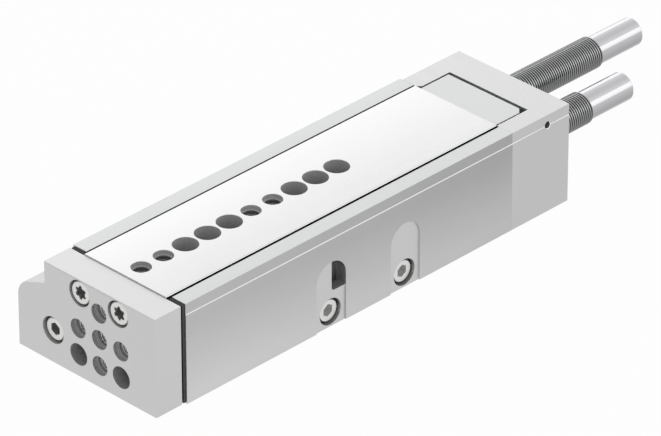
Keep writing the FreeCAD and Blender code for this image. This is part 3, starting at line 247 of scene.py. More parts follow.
class Level:
    """A number socket of a node tree; arithmetic on it adds Math nodes."""

    __add__, __radd__ = both_ways("ADD")
    __sub__, __rsub__ = both_ways("SUBTRACT")
    __mul__, __rmul__ = both_ways("MULTIPLY")

    def __init__(self, board, socket):
        self.board = board
        self.socket = socket

    def at_most(self, limit):
        """The smaller of the number and a limit."""
        return self.board.math("MINIMUM", self, limit)

    def at_least(self, limit):
        """The larger of the number and a limit."""
        return self.board.math("MAXIMUM", self, limit)


class Board:
    """A node tree in the making."""

    def __init__(self, tree):
        self.tree = tree

    def node(self, kind, settings=None, inputs=None):
        """Add a node: its settings first, then the values or links of its sockets."""
        node = self.tree.nodes.new(kind)
        for name, value in (settings or {}).items():
            setattr(node, name, value)
        for key, value in (inputs or {}).items():
            if isinstance(value, Level):
                value = value.socket
            if isinstance(value, bpy.types.NodeSocket):
                self.tree.links.new(value, node.inputs[key])
            else:
                node.inputs[key].default_value = value
        return node

    def math(self, operation, *values):
        """One Math node on levels, sockets or numbers."""
        node = self.node("ShaderNodeMath", {"operation": operation}, dict(enumerate(values)))
        return Level(self, node.outputs[0])


class Sheet(Board):
    """The node sheet of a material or of the sky."""

    def __init__(self, owner, output):
        owner.use_nodes = True
        super().__init__(owner.node_tree)
        self.tree.nodes.clear()
        self.output = self.node(output)

    def close(self, socket):
        """Lead a shader to the sheet's output."""
        self.tree.links.new(socket, self.output.inputs["Surface"])

    def background_rays(self):
        """1 for rays that look straight, by gloss or through glass at the background, else 0."""
        rays = self.node("ShaderNodeLightPath").outputs
        return (Level(self, rays["Is Camera Ray"]) + Level(self, rays["Is Glossy Ray"])
                + Level(self, rays["Is Transmission Ray"])).at_most(1.0)


finishes = {}


class Finish(Sheet):
    """A node material in the making, kept under its name."""

    def __init__(self, name):
        self.material = finishes[name] = bpy.data.materials.new(name)
        super().__init__(self.material, "ShaderNodeOutputMaterial")
        self.place = self.node("ShaderNodeTexCoord").outputs["Object"]

    def noise(self, scale, detail, roughness, stretch=(1, 1, 1)):
        """Noise on the object's own coordinates, stretched along an axis by a small factor."""
        place = self.node("ShaderNodeMapping", inputs={"Vector": self.place, "Scale": stretch})
        node = self.node("ShaderNodeTexNoise", {"noise_dimensions": "3D"}, {
            "Vector": place.outputs[0], "Scale": scale, "Detail": detail, "Roughness": roughness})
        return Level(self, node.outputs[0])

    def tint(self, first, second, factor):
        """Colour between two colours, each a value or a socket."""
        first, second = (item if isinstance(item, bpy.types.NodeSocket) else (*item, 1)
                         for item in (first, second))
        return self.node("ShaderNodeMix", {"data_type": "RGBA"},
                         {0: factor, 6: first, 7: second}).outputs[2]

    def rise(self, axis, low, high):
        """0 at a low place along an axis and 1 at a high one."""
        split = self.node("ShaderNodeSeparateXYZ", inputs={0: self.place})
        ramp = self.node("ShaderNodeMapRange", {"clamp": True}, {
            "Value": split.outputs["xyz".index(axis)], "From Min": low, "From Max": high})
        return Level(self, ramp.outputs[0])

    def surface(self, tone, roughness, height, relief, metallic=1.0):
        """The shader itself, on a relief that is a few micrometres deep."""
        bump = self.node("ShaderNodeBump", inputs={
            "Height": height, "Distance": relief, "Strength": 1.0})
        shader = self.node("ShaderNodeBsdfPrincipled", inputs={
            "Base Color": tone, "Metallic": metallic, "Roughness": roughness,
            "Normal": bump.outputs["Normal"]})
        self.close(shader.outputs[0])


def shade(base, factor):
    """A colour made lighter or darker by a factor."""
    return tuple(min(1.0, channel * factor) for channel in base)


# Scales of the noise in the finishes: lines and grits, and the broad clouds over them
FINE_LINES, BROAD_LINES, METAL_CLOUDS = 4200, 1100, 45
BLAST_GRIT, BLAST_CLOUDS = 9000, 60
RING_CLOUDS = 120
MOULD_SKIN, MOULD_CLOUDS = 2600, 80
GRAIN_STRETCH = {"x": (0.02, 1, 1), "y": (1, 0.02, 1)}
WAVE_LENGTH = 0.314  # distance between two crests of a Wave Texture at scale 1

# How far lines, clouds, grit, rings and skin move the roughness
LINES_MATT, LINE_CLOUDS_MATT, GRIT_MATT, RINGS_MATT, CLOUDS_MATT, SKIN_MATT = (
    0.22, 0.05, 0.12, 0.05, 0.06, 0.2)
GRIT_RELIEF = 1.5e-6

# Between which places painted light and shade change, in metres: the housing's sides lighter
# towards their foot and front, the barrels' and sleeves' undersides darker
PAINTED_LIGHT_HEIGHTS = 0.004, 0.03
PAINTED_LIGHT_REACH = -0.12, 0.02
PAINTED_SHADE_HEIGHTS = 0.0115, 0.0165


def grained_metal(name, base, roughness, along="x", grain=0.06, relief=2e-6, painted_foot_light=0.0, run=0.0):
    """Metal with fine lines along one axis; painted light makes it lighter by a share towards its
    foot and its front.
    """
    finish = Finish(name)
    lines = finish.noise(FINE_LINES, 3.0, 0.6, GRAIN_STRETCH[along])
    broad = finish.noise(BROAD_LINES, 2.0, 0.5, GRAIN_STRETCH[along])
    cloud = finish.noise(METAL_CLOUDS, 3.0, 0.55)
    mixed = lines * 0.5 + broad * 0.5
    level = mixed * 0.7 + cloud * 0.3
    reach = grain + painted_foot_light + run
    # Painted light: lighter towards the foot and towards the front
    if painted_foot_light:
        level = ((level - 0.5) * grain + (0.5 - finish.rise("z", *PAINTED_LIGHT_HEIGHTS)) * painted_foot_light
                 + (finish.rise("x", *PAINTED_LIGHT_REACH) - 0.5) * run) * (1 / reach) + 0.5
    finish.surface(finish.tint(shade(base, 1 - reach), shade(base, 1 + reach), level),
                   (mixed - 0.5) * LINES_MATT + (cloud - 0.5) * LINE_CLOUDS_MATT + roughness,
                   mixed, relief)


def blasted_metal(name, base, roughness, grain=0.035, metallic=1.0):
    """Matt metal with an even fine grit; less metallic by a share, which the painted shade in bores
    and sockets uses.
    """
    finish = Finish(name)
    grit = finish.noise(BLAST_GRIT, 2.0, 0.6)
    cloud = finish.noise(BLAST_CLOUDS, 3.0, 0.5)
    level = grit * 0.6 + cloud * 0.4
    finish.surface(finish.tint(shade(base, 1 - grain), shade(base, 1 + grain), level),
                   (grit - 0.5) * GRIT_MATT + (cloud - 0.5) * CLOUDS_MATT + roughness,
                   grit, GRIT_RELIEF, metallic)


def ringed_metal(name, base, roughness, axis="x", pitch=0.00012, relief=1.5e-6, grain=0.05,
                 foot=1.0):
    """Turned metal with rings across its axis; a foot below 1 paints shade on the underside, whose
    colour is that share of the base.
    """
    finish = Finish(name)
    rings = finish.node("ShaderNodeTexWave", {
        "wave_type": "BANDS", "bands_direction": axis.upper(), "wave_profile": "SIN"}, {
        "Vector": finish.place, "Scale": WAVE_LENGTH / pitch / 2, "Distortion": 0.6,
        "Detail": 1.0, "Detail Scale": 2.0})
    ring = Level(finish, rings.outputs["Fac"])
    cloud = finish.noise(RING_CLOUDS, 3.0, 0.5)
    tone = finish.tint(shade(base, 1 - grain), shade(base, 1 + grain), ring * 0.5 + cloud * 0.5)
    # Painted shade: the underside darkens to a share of the base
    if foot < 1:
        tone = finish.tint(shade(base, foot), tone, finish.rise("z", *PAINTED_SHADE_HEIGHTS))
    finish.surface(tone, ring * RINGS_MATT + (cloud - 0.5) * CLOUDS_MATT + roughness, ring, relief)


def moulded(name, base, roughness, relief=6e-6):
    """Matt moulded plastic or rubber."""
    finish = Finish(name)
    skin = finish.noise(MOULD_SKIN, 2.0, 0.6)
    cloud = finish.noise(MOULD_CLOUDS, 2.0, 0.5)
    finish.surface(finish.tint(shade(base, 0.8), shade(base, 1.25), skin * 0.5 + cloud * 0.5),
                   (skin - 0.5) * SKIN_MATT + roughness, skin, relief, 0.0)


def finish_of(name):
    """A finish by its name, which must have been mixed before."""
    if name not in finishes:
        raise RuntimeError(f"the finish {name} has not been mixed")
    return finishes[name]


def new_piece(name, mesh=None):
    """Put a mesh, or an empty one, into the scene as an object at the origin."""
    mesh = mesh or bpy.data.meshes.new(name)
    mesh.name = name
    piece = bpy.data.objects.new(name, mesh)
    bpy.context.scene.collection.objects.link(piece)
    return piece


@contextmanager
def skin_of(mesh):
    """Points and faces of a mesh, open for changes that are written back at the end."""
    skin = bmesh.new()
    skin.from_mesh(mesh)
    yield skin
    skin.to_mesh(mesh)
    skin.free()


def merged_copy(node, name):
    """Copy of a CAD node with its loose triangles merged into clean faces."""
    if node not in frame["nodes"]:
        raise RuntimeError(f"the frame has no node {node}")
    piece = new_piece(name, frame["nodes"][node].data.copy())
    piece.data.materials.clear()
    with skin_of(piece.data) as skin:
        bmesh.ops.remove_doubles(skin, verts=skin.verts, dist=MERGE_TOLERANCE)
        bmesh.ops.dissolve_limit(skin, angle_limit=math.radians(0.6), verts=skin.verts,
                                 edges=skin.edges, use_dissolve_boundaries=False)
    return piece


def settle(piece):
    """Turn a piece's modifiers into plain mesh."""
    graph = bpy.context.evaluated_depsgraph_get()
    graph.update()
    mesh = bpy.data.meshes.new_from_object(piece.evaluated_get(graph), depsgraph=graph)
    old = piece.data
    piece.modifiers.clear()
    piece.data = mesh
    mesh.name = piece.name
    if old.users == 0:
        bpy.data.meshes.remove(old)
    return piece


# From what angle between two faces their edge is sharp
MILLED_ANGLE, TURNED_ANGLE = math.radians(35), math.radians(30)


def ease_edges(piece, width):
    """Break the sharp edges of a piece and shade its round faces smooth."""
    bevel = piece.modifiers.new("edge_break", "BEVEL")
    bevel.width = width
    bevel.segments = 2
    bevel.limit_method = "ANGLE"
    bevel.angle_limit = MILLED_ANGLE
    bevel.use_clamp_overlap = False
    flat = piece.modifiers.new("flat_faces", "WEIGHTED_NORMAL")
    flat.mode = "FACE_AREA"
    flat.weight = 100
    piece.data.shade_smooth()
    return settle(piece)


def paint(piece, main, zones=()):
    """Give a piece its main finish, and others where a test of a face's points and normal holds."""
    piece.data.materials.clear()
    for name in (main, *(name for name, _ in zones)):
        piece.data.materials.append(finish_of(name))
    for face in piece.data.polygons:
        face.material_index = 0
        points = [piece.data.vertices[number].co for number in face.vertices]
        for index, (_, holds) in enumerate(zones, start=1):
            if holds(points, face.normal):
                face.material_index = index
                break
    return piece


# The numbers of the two axes across each axis
ACROSS = {"x": (1, 2), "y": (0, 2), "z": (0, 1)}


def round_axis(points, axis, places, radius):
    """Whether all points lie inside a radius round one of several parallel axes."""
    first, second = ACROSS[axis]
    return any(all(math.hypot(point[first] - a, point[second] - b) < radius for point in points)
               for a, b in places)


def between(points, axis, low, high):
    """Whether all points lie between two planes across an axis."""
    number = "xyz".index(axis)
    return all(low < point[number] < high for point in points)


def zone(looks=None, bores=None, **spans):
    """Test of a face: the way it looks, the bores that it lies in, and its span along each axis."""
    def holds(points, normal):
        return ((looks is None or looks(normal)) and (bores is None or round_axis(points, *bores))
                and all(between(points, axis, *span) for axis, span in spans.items()))
    return holds


def either(*tests):
    """Test of a face that holds where one of several does."""
    return lambda points, normal: any(test(points, normal) for test in tests)


def points_at(axis, level, places):
    """Points at one level along an axis, from their places across it."""
    number = "xyz".index(axis)
    return [(*place[:number], level, *place[number:]) for place in places]


def widen_bores(piece, axis, places):
    """Move the walls of tapped holes from the thread's smallest diameter out to its largest."""
    sizes = bpy.context.scene.machining_sizes
    core, root = sizes.tapped_core / 2, sizes.tapped_thread / 2
    for vertex in piece.data.vertices:
        for centre in places:
            spoke = [vertex.co[number] - middle for number, middle in zip(ACROSS[axis], centre)]
            if abs(math.hypot(*spoke) - core) < BORE_TOLERANCE:
                for number, middle, part in zip(ACROSS[axis], centre, spoke):
                    vertex.co[number] = middle + part * root / core
    return piece


def chamfered(piece, width, holds):
    """Chamfer the edges whose two points pass a test."""
    with skin_of(piece.data) as skin:
        edges = [edge for edge in skin.edges if edge.is_manifold
                 and all(holds(v.co) for v in edge.verts) and edge.calc_face_angle() > MILLED_ANGLE]
        bmesh.ops.bevel(skin, geom=edges, offset=width, segments=1, affect="EDGES",
                        clamp_overlap=True)
    return piece


def sloped_ledge(piece, side, height, drop):
    """Lower the outer edge of the thin ledge on the visible side, so that it becomes a slope."""
    for vertex in piece.data.vertices:
        if max(abs(vertex.co.y - side), abs(vertex.co.z - height)) < LEDGE_TOLERANCE:
            vertex.co.z -= drop
    return piece


def place(piece, node, slot_name, finish_name=None, zones=()):
    """Let a piece stand for a CAD node, on its body, and paint it if asked to; its slot name is not
    used.
    """
    if finish_name:
        paint(piece, finish_name, zones)
    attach(piece, frame["nodes"][node]["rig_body"])
    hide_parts(node)
    return piece


def dressed(node, name, width, finish_name, slot_name):
    """Copy of a CAD node with eased edges and one finish, which stands for the node."""
    return place(ease_edges(merged_copy(node, name), width), node, slot_name, finish_name)


def finish_node(node, name):
    """Give a carried-over CAD node its finish."""
    item = frame["nodes"][node]
    if not item.material_slots:
        item.data.materials.append(finish_of(name))
    for material_slot in item.material_slots:
        material_slot.material = finish_of(name)


class Tree(Board):
    """A geometry tree in the making, with named inputs."""

    def __init__(self, name, inputs):
        super().__init__(bpy.data.node_groups.new(name, "GeometryNodeTree"))
        panel = self.tree.interface
        self.keys = {label: panel.new_socket(label, in_out="INPUT", socket_type=kind).identifier
                     for label, kind in {"Geometry": "NodeSocketGeometry", **inputs}.items()}
        panel.new_socket("Geometry", in_out="OUTPUT", socket_type="NodeSocketGeometry")
        self.given = self.node("NodeGroupInput").outputs
        self.sink = self.node("NodeGroupOutput")

    def end(self, geometry):
        """Close the tree with real geometry and its material."""
        real = self.node("GeometryNodeRealizeInstances", inputs={"Geometry": geometry}).outputs[0]
        painted = self.node("GeometryNodeSetMaterial",
                            inputs={"Geometry": real, "Material": self.given["Material"]})
        self.tree.links.new(painted.outputs[0], self.sink.inputs[0])
        return self

    def apply(self, piece, values):
        """Run the tree on a piece with values for its named inputs."""
        modifier = piece.modifiers.new(self.tree.name, "NODES")
        modifier.node_group = self.tree
        for label, value in values.items():
            modifier[self.keys[label]] = value
        return settle(piece)


def repeat_tree():
    """Tree that sets one object on every point of a mesh."""
    tree = Tree("repeat_on_points", {"Piece": "NodeSocketObject", "Material": "NodeSocketMaterial"})
    item = tree.node("GeometryNodeObjectInfo", {"transform_space": "ORIGINAL"},
                     {"Object": tree.given["Piece"], "As Instance": True})
    points = tree.node("GeometryNodeMeshToPoints", inputs={"Mesh": tree.given["Geometry"]})
    copies = tree.node("GeometryNodeInstanceOnPoints", inputs={
        "Points": points.outputs[0], "Instance": item.outputs["Geometry"]})
    return tree.end(copies.outputs[0])


def repeated(name, master, points, finish_name):
    """Piece made of one master object at several points."""
    piece = new_piece(name)
    piece.data.from_pydata(points, [], [])
    repeat_tree().apply(piece, {"Piece": master, "Material": finish_of(finish_name)})
    discard(master)
    return piece


def discard(piece):
    """Take a piece and its mesh away."""
    mesh = piece.data
    bpy.data.objects.remove(piece)
    bpy.data.meshes.remove(mesh)


RIDGE_SIDES = 6
RIDGE_LEAN = math.pi / RIDGE_SIDES


def thread_tree(count):
    """Tree that winds a closed ridge round the X axis and lets it run out at both ends."""
    numbers = ("Rear", "Front", "Pitch", "Root", "Depth", "Run Out", "Turns")
    tree = Tree("wind_thread", {**dict.fromkeys(numbers, "NodeSocketFloat"),
                                "Centre": "NodeSocketVector", "Material": "NodeSocketMaterial"})
    rear, front, pitch, root, depth, run_out, whole = (
        Level(tree, tree.given[label]) for label in numbers)
    tube = tree.node("GeometryNodeMeshCylinder", {"fill_type": "NGON"},
                     {"Vertices": RIDGE_SIDES, "Side Segments": count, "Radius": 1.0, "Depth": 1.0})
    split = tree.node("ShaderNodeSeparateXYZ",
                      inputs={0: tree.node("GeometryNodeInputPosition").outputs[0]})
    across, up, along = (Level(tree, socket) for socket in split.outputs)
    around = tree.math("ARCTAN2", up, across) + RIDGE_LEAN
    turns = (along + 0.5) * whole
    height = tree.math("DIVIDE", tree.math("COSINE", around), math.cos(RIDGE_LEAN))
    radius = tree.math("MULTIPLY_ADD", height, depth, root)
    sine = tree.math("SINE", around)
    side = sine * tree.math("SQRT", tree.math("ABSOLUTE", sine)) * 0.5 * pitch
    x = ((turns - 0.5) * pitch + side + rear).at_least(rear).at_most(front)
    start = root + depth - run_out
    radius = radius.at_most(start + (x - rear)).at_most(start + (front - x))
    angle = turns * (2 * math.pi)
    point = tree.node("ShaderNodeCombineXYZ", inputs={
        0: x, 1: radius * tree.math("COSINE", angle), 2: radius * tree.math("SINE", angle)})
    point = tree.node("ShaderNodeVectorMath", {"operation": "ADD"},
                      {0: point.outputs[0], 1: tree.given["Centre"]})
    wound = tree.node("GeometryNodeSetPosition", inputs={
        "Geometry": tube.outputs["Mesh"], "Position": point.outputs[0]})
    return tree.end(wound.outputs[0])


def ridge(name, finish_name, rear, front, pitch, root, depth, run_out, centre=Vector()):
    """Piece with the ridge of a thread; a negative depth makes an inner thread."""
    turns = math.ceil((front - rear) / pitch) + 1
    piece = new_piece(name)
    thread_tree(turns * bpy.context.scene.machining_sizes.thread_steps).apply(piece, {
        "Rear": rear, "Front": front, "Pitch": pitch, "Root": root, "Depth": depth,
        "Run Out": run_out, "Turns": float(turns), "Centre": centre,
        "Material": finish_of(finish_name)})
    with skin_of(piece.data) as skin:
        bmesh.ops.recalc_face_normals(skin, faces=skin.faces)
    return piece


def tapped_turns(name, axis, places, rear, front, finish_name):
    """Inner threads of several tapped holes along one axis."""
    sizes = bpy.context.scene.machining_sizes
    root = sizes.tapped_thread / 2
    master = ridge(f"{name}_master", finish_name, rear, front, sizes.tapped_pitch, root,
                   sizes.tapped_core / 2 - root, NO_RUN_OUT)
    if axis == "z":
        turned_to(master, -math.pi / 2, "Y")
    return repeated(name, master, points_at(axis, 0, places), finish_name)


def join(name, pieces):
    """One piece out of several, with their finishes kept."""
    joined = new_piece(name)
    materials = joined.data.materials
    with skin_of(joined.data) as skin:
        for piece in pieces:
            start = len(skin.faces)
            skin.from_mesh(piece.data)
            skin.faces.ensure_lookup_table()
            numbers = []
            for material in piece.data.materials:
                if material.name not in materials:
                    materials.append(material)
                numbers.append(materials.find(material.name))
            for face in skin.faces[start:]:
                face.material_index = numbers[face.material_index]
    for piece in pieces:
        discard(piece)
    return joined


STATION_POINTS = 72


def lofted(name, stations):
    """Closed solid along X through stations; each has a distance and a radius at every angle."""
    piece = new_piece(name)
    with skin_of(piece.data) as skin:
        rings = []
        for x, radius in stations:
            ring = []
            for number in range(STATION_POINTS):
                angle = 2 * math.pi * number / STATION_POINTS
                reach = radius(angle) if callable(radius) else radius
                ring.append(skin.verts.new((x, reach * math.cos(angle), reach * math.sin(angle))))
            rings.append(ring)
        for before, after in zip(rings, rings[1:]):
            for number in range(STATION_POINTS):
                following = (number + 1) % STATION_POINTS
                skin.faces.new((before[number], before[following], after[following], after[number]))
        skin.faces.new(rings[0])
        skin.faces.new(rings[-1])
        bmesh.ops.recalc_face_normals(skin, faces=skin.faces)
    shade_turned(piece)
    return piece


def shade_turned(piece):
    """Shade a turned piece smooth between its sharp edges."""
    piece.data.shade_smooth()
    piece.data.set_sharp_from_angle(angle=TURNED_ANGLE)


def hexagon_reach(across_flats):
    """Radius of a hexagon at every angle."""
    def reach(angle):
        turn = (angle + math.pi / 6) % (math.pi / 3) - math.pi / 6
        return across_flats / 2 / math.cos(turn)
    return reach


def lobed_reach(core, lobe, circle):
    """Radius of a six-lobed outline at every angle, from the diameters of core, lobe and circle."""
    def reach(angle):
        turn = angle % (math.pi / 3) - math.pi / 6
        inside = (lobe / 2) ** 2 - (circle / 2 * math.sin(turn)) ** 2
        if inside <= 0:
            return core / 2
        return max(core / 2, circle / 2 * math.cos(turn) + math.sqrt(inside))
    return reach


def socket_screw(name, head, shank, whole, reach, deep):
    """Screw along -X from its head's top at the origin, with a recess of a given outline.

    The head is as tall as the shank is thick.
    """
    sizes = bpy.context.scene.screw_sizes
    easing, lip = sizes.head_easing, sizes.recess_easing
    return lofted(name, [
        (-deep, FLOOR_RADIUS), (-deep, reach), (-lip, reach), (0, lambda angle: reach(angle) + lip),
        (0, head / 2 - easing), (-easing, head / 2), (-shank + easing / 2, head / 2),
        (-shank, head / 2 - easing / 2), (-shank, shank / 2), (-whole + shank / 8, shank / 2),
        (-whole, shank * 3 / 8)])


def turned_to(piece, angle, axis="Z"):
    """Turn a piece's mesh about the origin."""
    piece.data.transform(Matrix.Rotation(angle, 4, axis))
    return piece


class SLIDE_OT_finishes(bpy.types.Operator):
    """Mix the metal, plastic and rubber finishes"""

    bl_idname = "slide.finishes"
    bl_label = "Finishes"

    def execute(self, context):
        tone = context.scene.metal_colours
        housing, cap, yoke, table = tone.housing, tone.cap, tone.yoke, tone.table
        # The housing's sides get painted light, lighter towards the foot and the front
        grained_metal("brushed_housing", housing, 0.42, "x", 0.09, 3e-6, painted_foot_light=0.13, run=0.1)
        # Lighter copy of the housing for its top: painted light
        grained_metal("ground_housing", tone.painted_light_top, 0.36, "x", 0.04)
        # Near white cut edges: bare metal and a painted highlight
        grained_metal("cut_edge", tone.cut_edge, 0.3, "x", 0.03)
        # Lighter copy of the cap for its top: painted light
        grained_metal("ground_cap", shade(cap, 1.27), 0.42, "y", 0.04)
        # Dark copy of the housing: painted shade on the window's walls
        grained_metal("window_wall", shade(housing, 0.28), 0.38, "y", 0.1)
        grained_metal("brushed_cap", cap, 0.46, "x", 0.05, 2e-6)
        grained_metal("ground_table", table, 0.16, "x", 0.03, 8e-7)
        grained_metal("ground_rail", tone.rail, 0.26, "x", 0.06, 1e-6)
        grained_metal("chromed_rod", tone.chrome, 0.1, "x", 0.02, 3e-7)
        grained_metal("bare_steel", shade(tone.rail, 0.95), 0.36, "x", 0.07)
        grained_metal("cage_brass", tone.brass, 0.28, "x", 0.06, 1e-6)
        # Duller copies of the screws' metal: painted shade in the sockets, dark in the yoke's and
        # the rod's screws and lighter in the stop screws'
        blasted_metal("socket_wall", shade(tone.screw, 0.4), 0.5, metallic=0.3)
        blasted_metal("open_socket", shade(tone.screw, 0.9), 0.5, metallic=0.3)
        blasted_metal("milled_housing", shade(housing, 1.16), 0.5)
        # Darker, duller copy of the housing: painted shade in its holes
        blasted_metal("housing_bore", shade(housing, 0.6), 0.5, 0.08, metallic=0.4)
        blasted_metal("milled_cap", shade(cap, 1.04), 0.5)
        blasted_metal("blasted_yoke", yoke, 0.5)
        # Lighter copy of the yoke for its top: painted light
        blasted_metal("ground_yoke", shade(yoke, 1.24), 0.5)
        # Darker, duller copy of the yoke: painted shade in its bores
        blasted_metal("yoke_bore", shade(yoke, 0.8), 0.45, 0.08, metallic=0.3)
        blasted_metal("yoke_thread", shade(yoke, 1.2), 0.3)
        # Dark copy of the yoke: painted shade on the root behind the thread turns
        blasted_metal("thread_root", shade(yoke, 0.3), 0.4)
        blasted_metal("matt_carrier", tone.carrier, 0.55)
        # Darker copies of the table: painted shade in its bores, darker still in their mouths and
        # threads
        blasted_metal("table_bore", shade(table, 0.75), 0.5, 0.08, metallic=0.2)
        blasted_metal("table_mouth", shade(table, 0.1), 0.45, 0.08, metallic=0.8)
        # Near black copy of the table: painted shade on its visible side beside the rail
        blasted_metal("table_side", shade(table, 0.05), 0.6)
        blasted_metal("table_thread", shade(table, 0.9), 0.3)
        ringed_metal("turned_brass", tone.brass, 0.26)
        ringed_metal("ball_steel", shade(tone.chrome, 0.95), 0.09, "z", 0.0002, 2e-7, 0.02)
        ringed_metal("plated_screw", tone.screw, 0.34, "z", 0.0003, 1e-6)
        # The barrels' undersides get painted shade, at 0.55 of the colour
        ringed_metal("dark_thread", tone.thread, 0.3, "x", 0.0002, 8e-7, 0.12, 0.55)
        # Dark copy of the thread for the ridge's flanks and root: painted shade in the grooves
        ringed_metal("thread_groove", shade(tone.thread, 0.36), 0.4, "x", 0.0002, 8e-7, 0.12)
        # The sleeves' undersides get painted shade, at 0.55 of the colour
        ringed_metal("bright_sleeve", tone.sleeve, 0.14, "x", 0.00012, 5e-7, 0.03, 0.55)
        ringed_metal("spring_wire", shade(tone.rail, 0.85), 0.3, "x", 0.0002)
        moulded("black_plastic", tone.plastic, 0.5)
        moulded("seal_rubber", tone.rubber, 0.62)
        moulded("magnet", shade(tone.plastic, 2.4), 0.45, 9e-6)
        return {"FINISHED"}


def block_zones(high, ledge):
    """Zones that housing and cap share: the slope under the upper band, the ends and the top."""
    return (zone(lambda normal: min(normal.y, normal.z) > LEANING,
                 z=(ledge - BLOCK_RIM, ledge + BLOCK_RIM)),
            zone(lambda normal: abs(normal.x) > FLAT),
            zone(lambda normal: normal.z > STEEP, z=(high.z - BLOCK_RIM, high.z + BLOCK_RIM)))


class SLIDE_OT_housing(bpy.types.Operator):
    """Make the housing with eased edges, brushed sides and milled pockets"""

    bl_idname = "slide.housing"
    bl_label = "Housing"

    def execute(self, context):
        sizes = context.scene.machining_sizes
        low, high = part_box("housing")
        ledge = high.z - sizes.band_height
        piece = sloped_ledge(merged_copy("housing", "brushed_housing_block"), high.y, ledge,
                             sizes.band_slope)
        piece = ease_edges(piece, sizes.band_break)
        on_slope, on_end, on_top = block_zones(high, ledge)
        room = {"x": (low.x + BLOCK_RIM, high.x - BLOCK_RIM),
                "y": (low.y + BLOCK_RIM, high.y - BLOCK_RIM)}
        in_pocket = zone(lambda normal: abs(normal.y) > FLAT,
                         y=(high.y - sizes.pocket_reach, high.y - BLOCK_RIM))
        in_window = zone(lambda normal: abs(normal.z) < FLAT,
                         z=(sizes.window_foot, high.z - BLOCK_RIM), **room)
        in_hole = zone(z=(BLOCK_RIM, high.z - BLOCK_RIM), **room)
        # Painted light on the top, painted shade in the window and the holes
        place(piece, "housing", "housing_alu", "brushed_housing", [
            ("cut_edge", on_slope), ("milled_housing", either(in_pocket, on_end)),
            ("ground_housing", on_top), ("window_wall", in_window), ("housing_bore", in_hole)])
        return {"FINISHED"}


class SLIDE_OT_cap(bpy.types.Operator):
    """Make the rear cap with eased edges and milled pocket"""

    bl_idname = "slide.cap"
    bl_label = "Rear cap"

    def execute(self, context):
        sizes = context.scene.machining_sizes
        low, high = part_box("rear_cap")
        ledge = high.z - sizes.band_height

        def round_hole(point):
            return (point.y > high.y - BLOCK_RIM and abs(point.z - ledge) < SIDE_HOLE_REACH
                    and low.x + SIDE_HOLE_MARGIN < point.x < high.x - SIDE_HOLE_MARGIN)

        def on_chamfer(points, normal):
            return SLOPED < normal.y < FLAT and all(round_hole(point) for point in points)

        piece = merged_copy("rear_cap", "milled_rear_cap")
        piece = chamfered(piece, sizes.hole_chamfer, round_hole)
        piece = ease_edges(sloped_ledge(piece, high.y, ledge, sizes.band_slope), sizes.band_break)
        on_slope, on_end, on_top = block_zones(high, ledge)
        inside = zone(x=(low.x + BLOCK_RIM, high.x + BLOCK_RIM),
                      y=(low.y + BLOCK_RIM, high.y - BLOCK_RIM), z=(BLOCK_RIM, high.z - BLOCK_RIM))
        # Painted light on the cap's top
        place(piece, "rear_cap", "cap_alu", "brushed_cap", [
            ("cut_edge", either(on_slope, on_chamfer)), ("ground_cap", on_top),
            ("milled_cap", either(inside, on_end))])
        return {"FINISHED"}


class SLIDE_OT_cover(bpy.types.Operator):
    """Make the black front cover"""

    bl_idname = "slide.cover"
    bl_label = "Front cover"

    def execute(self, context):
        width = context.scene.machining_sizes.fine_break
        dressed("front_cover", "black_front_cover", width, "black_plastic", "black_plastic")
        return {"FINISHED"}


class SLIDE_OT_table(bpy.types.Operator):
    """Make the ground slide table with its bores and threads"""

    bl_idname = "slide.table"
    bl_label = "Slide table"

    def execute(self, context):
        sizes = context.scene.machining_sizes
        low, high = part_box("slide_table")
        piece = merged_copy("slide_table", "ground_slide_table")
        piece = ease_edges(widen_bores(piece, "z", TABLE_HOLES), sizes.fine_break)
        walls = "z", TABLE_HOLES, THREAD_WALL
        in_mouth = zone(lambda normal: abs(normal.z) > LEANING, walls,
                        z=(low.z + TABLE_RIM, high.z - TABLE_RIM))
        in_thread = zone(bores=walls, z=(low.z + TABLE_RIM, high.z - THREAD_MOUTH))
        in_bore = zone(bores=("z", TABLE_HOLES, TABLE_WALL),
                       z=(low.z - TABLE_RIM, high.z - BORE_MOUTH))
        # The visible side gets painted shade, so that the gap beside the rail looks wider
        on_shaded_side = zone(lambda normal: abs(normal.y) > FLAT,
                       y=(high.y - TABLE_RIM, high.y + TABLE_RIM))
        # Painted shade in the mouths, threads and bores, and near black on the visible side
        place(piece, "slide_table", "table_steel", "ground_table", [
            ("table_mouth", either(in_mouth, in_thread)), ("table_bore", in_bore),
            ("table_side", on_shaded_side)])
        turns = tapped_turns("table_thread_turns", "z", TAPPED_TABLE_HOLES, low.z,
                             high.z - sizes.tapped_start, "table_thread")
        place(turns, "slide_table", "table_steel")
        return {"FINISHED"}


